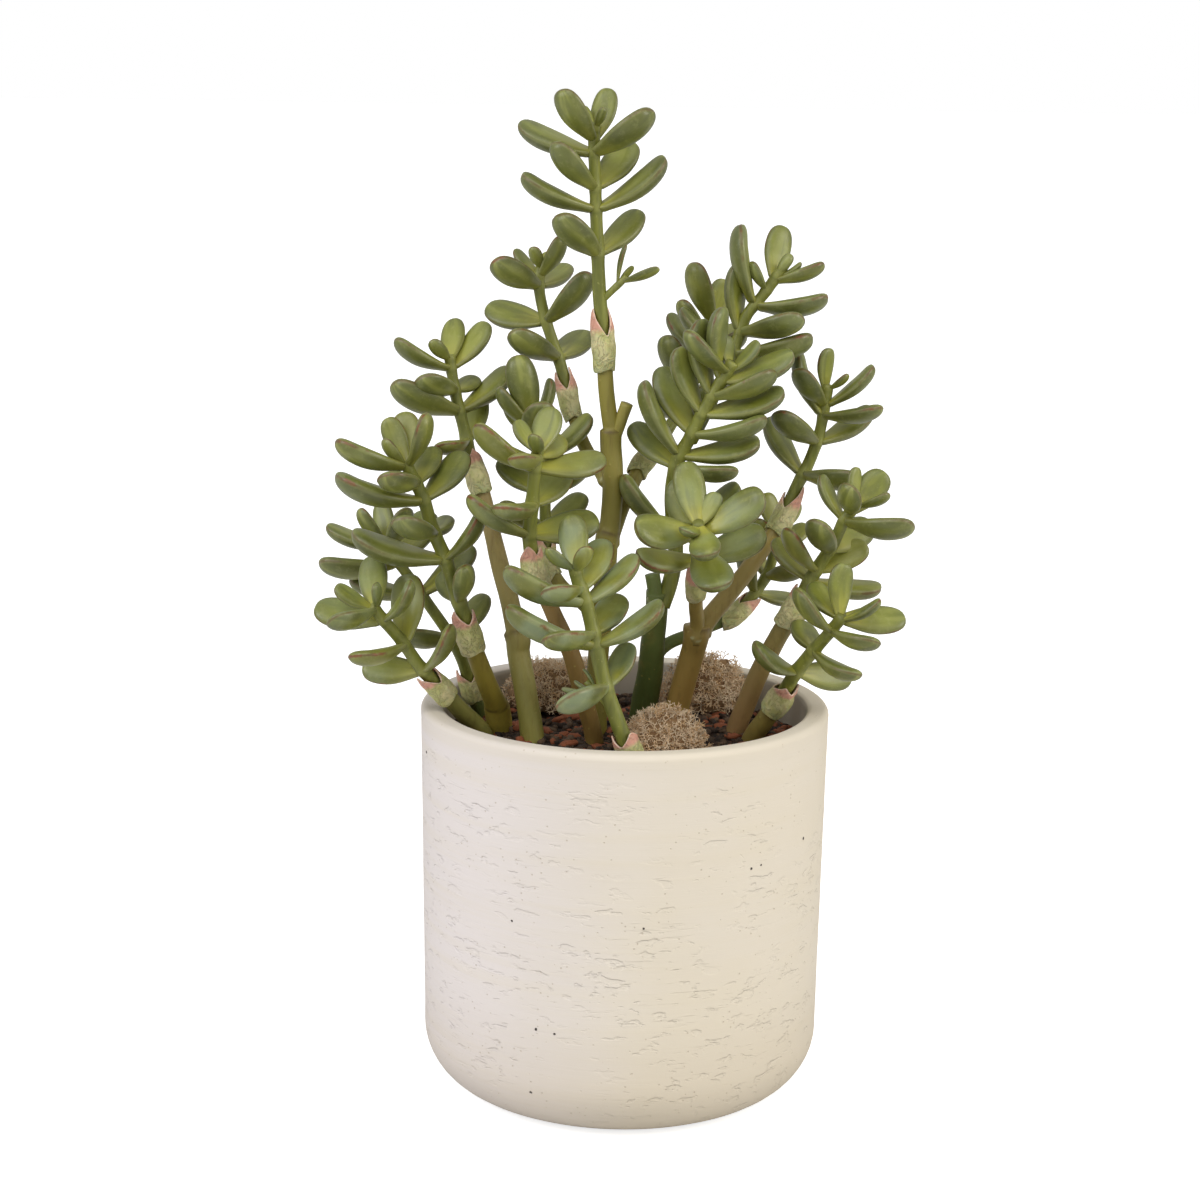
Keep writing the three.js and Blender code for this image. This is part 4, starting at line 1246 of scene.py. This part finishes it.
def stem_of(stalk, seed, skin):
    """A stem that narrows to its tip and swells a little at each pair of leaves."""
    wide, narrow = stalk["radius"]
    last = len(stalk["stem"]) - 1
    stations = [[*point, wide + (narrow - wide) * i / last] for i, point in enumerate(stalk["stem"])]
    knots = [pair[0] for pair in stalk["pairs"]]

    def knot_at(distance, angle):
        return max(peak(distance - knot, KNOT_WIDTH) for knot in knots)

    def shape(distance, angle, radius):
        spot = Vector((math.cos(angle), math.sin(angle), distance / 9 + seed))
        return radius * (1 + KNOT * knot_at(distance, angle) + STEM_LUMP * noise.noise(spot))

    def seam_at(distance, angle):
        return 0.7 * max(peak(distance - knot + 1.6, SCAR_WIDTH) for knot in knots)

    stick = rod(stations, STEM_SIDES, STEM_SPACING, shape, knot=knot_at, seam=seam_at)
    stick.data.materials.append(skin)
    return stick


# How much pale bloom lies on the leaves of some sprigs, and of the others
BLOOM = {"front": 0.9, "left_low": 0.4, "rosette": 0.5, "right_high": 0.25, "left": 0.15, "front_left": 0.25}
LEAST_BLOOM = 0.05


def sprigs(bark, skin, leaf_skin):
    blank = leaf_blank(leaf_skin)
    for order, (name, sprig) in enumerate(SPRIGS.items()):
        first = SPRIG_COUNT * order
        bloom = BLOOM.get(name, LEAST_BLOOM)
        pieces = [stem_of(sprig, order, skin), *leaves_of(sprig, first, blank, bloom)]
        pieces += [cane_run(name, run, stations, bark) for run, stations in enumerate(sprig.get("wood", []))]
        for shoot in sprig.get("shoots", []):
            pieces.append(stem_of(shoot, order + 0.5, skin))
            pieces += leaves_of(shoot, first + SHOOT_COUNT, blank, bloom)
        finished(joined(name + "_sprig", pieces), "sprig_" + name)
    forget(blank)


def nearest_lobe(turn, lobes):
    """The order of the lobe at a turn in degrees, its height, and how far off its middle that is, 0 to 1."""
    found = []
    for order, (at, height) in enumerate(lobes):
        apart = abs((turn - at + 540) % 360 - 180) / LOBE_SPREAD
        found.append((apart, order, height))
    apart, order, height = min(found)
    return order, height, min(apart, 1)


def sheath_path(sprig):
    """The middle line of a sheath, from the cane over the joint to the stem, with how wide it is there."""
    cane, run = sprig["on"]
    below = Route((CANES.get(cane) or SPRIGS[cane]["wood"])[run])
    above = Route(sprig["stem"])
    wide = SHEATH_ON_CANE * max(below.radii[-1], below.radii[-2]) + SHEATH_SNUG
    narrow = SHEATH_ON_STEM * sprig["radius"][0] + SHEATH_SNUG
    return Route([
        [*below.at(below.share(-sprig.get("below", SHEATH_BELOW))), wide],
        [*sprig["stem"][0], max(wide, narrow)],
        [*above.at(above.share(SHEATH_ABOVE)), narrow],
    ])


def sheath(name, sprig, seed, paper):
    """A papery sleeve round a sprig's joint: two scales, one over the other, with pointed tips."""
    path = sheath_path(sprig)
    head = path.tangent(1)
    lean = math.tan(math.radians(LOBE_LEAN))
    lobes = sprig.get("lobes", LOBES)
    tallest = max(height for _, height in lobes)

    def reach(turn, ring):
        """How far up the sleeve a vertex stands, and how far of that is above its top."""
        _, height, apart = nearest_lobe(360 * turn, lobes)
        angle = 2 * math.pi * turn
        spot = Vector((3 * math.cos(angle), 3 * math.sin(angle), seed))
        ragged = SHEATH_RAGGED * noise.noise(spot)
        lift = height * (0.7 * (1 - apart ** 1.7) + 0.3 * (1 - apart) ** 3) + ragged * (1 - apart)
        start = SHEATH_SCALLOP * apart ** 2 + ragged
        distance = start + (path.length + lift - start) * ring / SHEATH_RINGS
        return distance, max(distance - path.length, 0)

    def place_at(turn, ring):
        angle = 2 * math.pi * turn
        order, height, _ = nearest_lobe(360 * turn, lobes)
        distance, over = reach(turn, ring)
        t = path.share(min(max(distance, 0), path.length))
        tangent = path.tangent(t)
        side = square_to(tangent, TO_RIGHT)
        outwards = side * math.cos(angle) + tangent.cross(side) * math.sin(angle)
        spot = Vector((1.6 * math.cos(angle), 1.6 * math.sin(angle), distance / 4 + seed))
        crumple = 0.35 * noise.noise(spot) + 0.2 * noise.noise(spot * 2.7)
        belly = SHEATH_BULGE * math.sin(math.pi * min(max(distance / (path.length + height), 0), 1)) ** 1.5
        layer = SHEATH_LAYER if order == 0 else 0
        out = path.radius(t) + SHEATH_WALL / 2 + crumple + belly + layer
        out += over * lean - LOBE_CURL * over * over
        return (path.at(t) + outwards * out + head * over) * MM

    def blush_at(turn, ring):
        return reach(turn, ring)[1] / tallest

    def low_at(turn, ring):
        return smooth(reach(turn, ring)[0], 0.75 * path.length, 0.1 * path.length)

    def hem_at(turn, ring):
        return smooth(ring / SHEATH_RINGS, 0.9, 1)

    sleeve = wrapped(SHEATH_SIDES, SHEATH_RINGS, place_at, blush=blush_at, low=low_at, hem=hem_at)
    work_all(sleeve, bpy.ops.mesh.normals_make_consistent, inside=False)
    apply_modifier(sleeve, "SOLIDIFY", thickness=SHEATH_WALL * MM, offset=0)
    subdivided(sleeve, 1)
    sleeve.data.materials.append(paper)
    finished(named(sleeve, name + "_sheath"), "sheath_" + name)


def sheaths(paper):
    for order, (name, sprig) in enumerate(SPRIGS.items()):
        if "on" in sprig:
            sheath(name, sprig, order * SHEATH_APART, paper)


def is_outer(vertex):
    """Whether a corner of the pot is nearer to the outside of its wall than to the inside."""
    return vertex.co.xy.length > POT_INNER + POT_WALL / 2


def is_floor_edge(edge):
    return level_with(POT_FLOOR)(edge) and not any(is_outer(vertex) for vertex in edge.verts)


def is_rim_edge(edge):
    """Whether an edge runs round the rim, and not across it."""
    start, end = (vertex.co.xy.length for vertex in edge.verts)
    return level_with(POT_HEIGHT)(edge) and abs(start - end) < NEAR


def is_wall_edge(edge):
    """Whether an edge runs up the outside of the pot."""
    start, end = (vertex.co.z for vertex in edge.verts)
    return abs(start - end) > POT_HEIGHT / 2 and is_outer(edge.verts[0])


def pot(clay):
    """The pot, worked from a block: a rounded foot, a hollow, a soft rim and a slightly uneven wall."""
    body = upright(POT_SIDES, RIM_RADIUS, 0, POT_HEIGHT)
    edit(body)
    pick("FACE", level_with(0))
    narrowed(RIM_RADIUS - FOOT_RADIUS, RIM_RADIUS, 0)
    pick("EDGE", level_with(0))
    bevelled(POT_CORNER, POT_CORNER_STEPS)
    pick("FACE", level_with(POT_HEIGHT))
    bpy.ops.mesh.inset(thickness=POT_WALL)
    bpy.ops.mesh.extrude_region_move(TRANSFORM_OT_translate={"value": (0, 0, POT_FLOOR - POT_HEIGHT)})
    narrowed(POT_INNER_TAPER, POT_INNER, POT_FLOOR)
    pick("EDGE", is_floor_edge)
    bevelled(POT_INNER_CORNER, POT_INNER_STEPS)
    pick("EDGE", is_rim_edge)
    bevelled(RIM_ROUND, RIM_STEPS)
    pick("EDGE", is_wall_edge)
    bpy.ops.mesh.subdivide(number_cuts=WALL_CUTS)
    done()
    inside = []
    for vertex in body.data.vertices:
        radius = vertex.co.xy.length
        if is_outer(vertex) and POT_CORNER < vertex.co.z < POT_HEIGHT - 2 * RIM_ROUND:
            spot = Vector(a * b for a, b in zip(vertex.co, WALL_WAVES))
            share = 1 - WALL_UNEVEN * (0.5 + 0.5 * noise.noise(spot)) / radius
            vertex.co.x *= share
            vertex.co.y *= share
        # The inner wall is marked so that its clay can be painted darker, as shade.
        is_inside = radius < POT_INNER + 0.5 * MM and vertex.co.z > POT_FLOOR - 1 * MM
        inside.append(1.0 if is_inside else 0.0)
    mark(body.data, "inside", inside)
    body.data.materials.append(clay)
    finished(named(body, "planter"), "pot")
    bpy.ops.object.shade_smooth_by_angle(angle=math.radians(RIM_CREASE))


def bumps(x, y, size):
    """Rise and fall of the soil at a place, as on the solid."""
    return math.sin(x / size + 1.3 * math.sin(y / size)) * math.cos(y / size - 0.7 * math.sin(x / size))


def soil_height(x, y):
    rough = noise.noise(Vector((x, y, 0)) / (3.5 * MM)) + 0.5 * noise.noise(Vector((x, y, 1)) / (1.6 * MM))
    edge = smooth(math.hypot(x, y), SOIL_RADIUS * 0.8, SOIL_RADIUS)
    return SOIL_TOP + SOIL_RELIEF * bumps(x, y, SOIL_LUMP) + SOIL_ROUGHNESS * rough * (1 - edge)


def soil(earth, draw):
    """The soil in the pot, with crumbs and chips of bark on its top."""
    body = upright(SOIL_SIDES, SOIL_RADIUS, SOIL_BOTTOM, SOIL_TOP)
    body.data.materials.append(earth)
    edit(body)
    pick("FACE", level_with(SOIL_BOTTOM))
    narrowed(POT_INNER_TAPER, SOIL_RADIUS, SOIL_BOTTOM)
    pick("EDGE", level_with(SOIL_BOTTOM))
    bevelled(POT_INNER_CORNER, SOIL_CORNER_STEPS)
    pick("FACE", lambda face: face.normal.z > 0.9)
    for _ in range(SOIL_RINGS):
        bpy.ops.mesh.inset(thickness=SOIL_RADIUS / (SOIL_RINGS + 1))
    done()
    for vertex in body.data.vertices:
        if vertex.co.z > SOIL_TOP - NEAR:
            vertex.co.z = soil_height(vertex.co.x, vertex.co.y)
    mark(body.data, "tone", 0.0)
    pieces = [body]
    blanks = [(kind, lump_blank(kind, earth, draw)) for kind in (CRUMB, CHIP)]
    for kind, blank in blanks:
        pieces += [strewn(blank, kind, draw) for _ in range(kind["count"])]
        forget(blank)
    finished(joined("potting_soil", pieces), "soil")


def lump_blank(kind, earth, draw):
    """A small uneven lump of radius 1."""
    bpy.ops.mesh.primitive_ico_sphere_add(subdivisions=kind["detail"], radius=1)
    lump = bpy.context.object
    lump.name = "lump_blank"
    lump.data.materials.append(earth)
    for vertex in lump.data.vertices:
        vertex.co = vertex.co * draw.uniform(*LUMP_UNEVEN)
        vertex.co = Vector(a * b for a, b in zip(vertex.co, kind["shape"]))
    return lump


def strewn(blank, kind, draw):
    """A copy of a lump, lying anyhow on the soil."""
    largest = kind["sizes"][1] * MM
    reach = (SOIL_RADIUS - largest) * math.sqrt(draw.random())
    angle = draw.uniform(0, 2 * math.pi)
    x, y = reach * math.cos(angle), reach * math.sin(angle)
    size = draw.uniform(*kind["sizes"]) * MM
    turn = Matrix.Rotation(draw.uniform(0, ANY_TURN), 4, "Z")
    tilt = Matrix.Rotation(draw.gauss(0, LUMP_TILT), 4, "X")
    spot = (x, y, soil_height(x, y) + size * LUMP_RISE)
    matrix = Matrix.Translation(spot) @ (turn @ tilt) @ Matrix.Scale(size, 4)
    return copy_of(blank, matrix, tone=1.0 if draw.random() < kind["red"] else draw.uniform(0, 0.5))


def tuft_blank(draw, fibre):
    """A small curly spray of moss: a thread that forks again and again, each part a thin three-sided cone."""
    bpy.ops.mesh.primitive_cone_add(vertices=3, radius1=0.17, radius2=0.12, depth=1, end_fill_type="NOTHING",
                                    location=(0, 0, 0.5))
    thread = bpy.context.object
    thread.data.materials.append(fibre)
    bpy.ops.object.transform_apply(location=True)
    pieces = []

    def grow(matrix, left):
        length = draw.uniform(*THREAD_LENGTHS)
        pieces.append(copy_of(thread, matrix @ Matrix.Diagonal((1, 1, length, 1))))
        if left == 0:
            return
        end = matrix @ Matrix.Translation((0, 0, length * THREAD_OVERLAP))
        first = draw.uniform(0, ANY_TURN)
        for fork in range(1 if left == TUFT_FORKS else 2):
            turn = Matrix.Rotation(first + fork * 3.1, 4, "Z")
            splay = Matrix.Rotation(draw.uniform(*THREAD_SPLAY), 4, "X")
            grow(end @ (turn @ splay) @ Matrix.Scale(THREAD_SHRINK, 4), left - 1)

    grow(Matrix.Identity(4), TUFT_FORKS)
    forget(thread)
    return joined("tuft_blank", pieces)


def scatter(mesh, count, draw):
    """Places spread evenly over a mesh, each with the direction that the surface faces there."""
    mesh.calc_loop_triangles()
    triangles = list(mesh.loop_triangles)
    for triangle in draw.choices(triangles, weights=[t.area for t in triangles], k=count):
        a, b, c = (mesh.vertices[i].co for i in triangle.vertices)
        u, v = draw.random(), draw.random()
        if u + v > 1:
            u, v = 1 - u, 1 - v
        yield a + (b - a) * u + (c - a) * v, triangle.normal


def moss(name, fibre, tufts, draw):
    """A clump of moss: a core drawn in from its solid, with sprays of fibre all over it."""
    core = placed(name + "_core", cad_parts[name].data.copy())
    core.data.materials.clear()
    core.data.materials.append(fibre)
    edit(core)
    bpy.ops.mesh.select_all(action="SELECT")
    bpy.ops.mesh.remove_doubles(threshold=MOSS_WELD)
    bpy.ops.transform.shrink_fatten(value=-MOSS_SHRINK)
    done()
    mark(core.data, "tone", 0.0)
    square_cm = sum(face.area for face in core.data.polygons) / (10 * MM) ** 2
    pieces = [core]
    for spot, normal in scatter(core.data, round(square_cm * TUFTS_PER_CM), draw):
        is_buried = spot.z < SOIL_TOP - 0.5 * MM or normal.z < -0.3
        if is_buried:
            continue
        lean = Vector(draw.gauss(0, MOSS_LEAN) for _ in range(3))
        along = (normal + lean).normalized().to_track_quat("Z", "Y").to_matrix().to_4x4()
        turn = along @ Matrix.Rotation(draw.uniform(0, ANY_TURN), 4, "Z")
        size = draw.uniform(*TUFT_SIZES) * MM
        tone = min(max(MOSS_SHADE[name] + draw.gauss(0, MOSS_SHADE_SPREAD), 0), 1)
        matrix = Matrix.Translation(spot) @ turn @ Matrix.Scale(size, 4)
        pieces.append(copy_of(draw.choice(tufts), matrix, tone=tone))
    finished(joined(name.replace("moss", "reindeer_moss"), pieces), name)


def camera():
    made = placed("camera", bpy.data.cameras.new("camera"))
    made.data.lens = CAMERA_LENS
    made.data.sensor_width = CAMERA_SENSOR
    made.matrix_world = (Matrix.Translation(CAMERA_PLACE)
                         @ Matrix.Rotation(math.radians(90 - CAMERA_DOWN), 4, "X")
                         @ Matrix.Rotation(math.radians(CAMERA_ROLL), 4, "Z"))
    bpy.context.scene.camera = made


FLOOR_SIZE = 30
FLOOR_GREY = (0.68, 0.68, 0.68, 1)
FLOOR_GLOW = 0.8
GLOW_WHITE = (0.93, 0.93, 0.93, 1)
BLACK = (0, 0, 0, 1)
WHITE = (1, 1, 1, 1)
SKY_LIGHT = 0.53
SKY_SEEN = 1.0
AIM = Vector((0, 0, 0.2))


def lamp(name, kind, place, power, tint, **settings):
    """A light that shines from its place towards the middle of the plant."""
    made = placed(name, bpy.data.lights.new(name, kind))
    made.data.energy = power
    made.data.color = tint
    for setting, value in settings.items():
        setattr(made.data, setting, value)
    made.location = place
    made.rotation_euler = (AIM - Vector(place)).to_track_quat("-Z", "Y").to_euler()


def pale_floor():
    """A pale floor that glows a little where the camera sees it, so that it looks like white paper."""
    bpy.ops.mesh.primitive_plane_add(size=FLOOR_SIZE)
    floor = bpy.context.object
    floor.name = "floor"
    paper = Finish("floor_paper", roughness=0.9, base_color=FLOOR_GREY, emission_strength=FLOOR_GLOW)
    glow = paper.mix(paper.node("LightPath", {}, {}, "Is Camera Ray"), BLACK, GLOW_WHITE)
    floor.data.materials.append(paper.paint(emission_color=glow))


def sky():
    """A white sky that the camera sees at full strength and that lights the plant with about half of it."""
    world = bpy.data.worlds.new("studio")
    bpy.context.scene.world = world
    world.use_nodes = True
    tree = world.node_tree
    shade = tree.nodes["Background"]
    ray = tree.nodes.new("ShaderNodeLightPath")
    strength = tree.nodes.new("ShaderNodeMapRange")
    strength.inputs["To Min"].default_value = SKY_LIGHT
    strength.inputs["To Max"].default_value = SKY_SEEN
    tree.links.new(ray.outputs["Is Camera Ray"], strength.inputs["Value"])
    tree.links.new(strength.outputs[0], shade.inputs["Strength"])
    shade.inputs["Color"].default_value = WHITE


def studio():
    """Soft light: a broad sun above the camera, a cooler lamp on the left and a warmer one on the right."""
    pale_floor()
    lamp("sky", "SUN", place=(-0.3, -1.2, 1.7), power=1.05, tint=(1, 0.99, 0.99), angle=math.radians(50))
    lamp("key", "AREA", place=(-1.35, -0.6, 1.0), power=8.5, tint=(0.95, 0.96, 1), shape="DISK", size=0.8)
    lamp("fill", "AREA", place=(1.4, -0.6, 0.85), power=10.5, tint=(1, 0.96, 0.88), shape="DISK", size=0.8)
    sky()
    bpy.context.scene.view_settings.view_transform = "Standard"


deselect()
camera()
studio()
bark = cane_finish()
pot(pot_finish())
soil(soil_finish(), random.Random(5))
canes(bark)
sprigs(bark, stem_finish(), leaf_finish())
sheaths(sheath_finish())
fibre = moss_finish()
tufts = [tuft_blank(random.Random(seed), fibre) for seed in TUFT_SEEDS]
for order, name in enumerate(MOSS_SHADE):
    moss(name, fibre, tufts, random.Random(MOSS_SEED + order))
for tuft in tufts:
    forget(tuft)
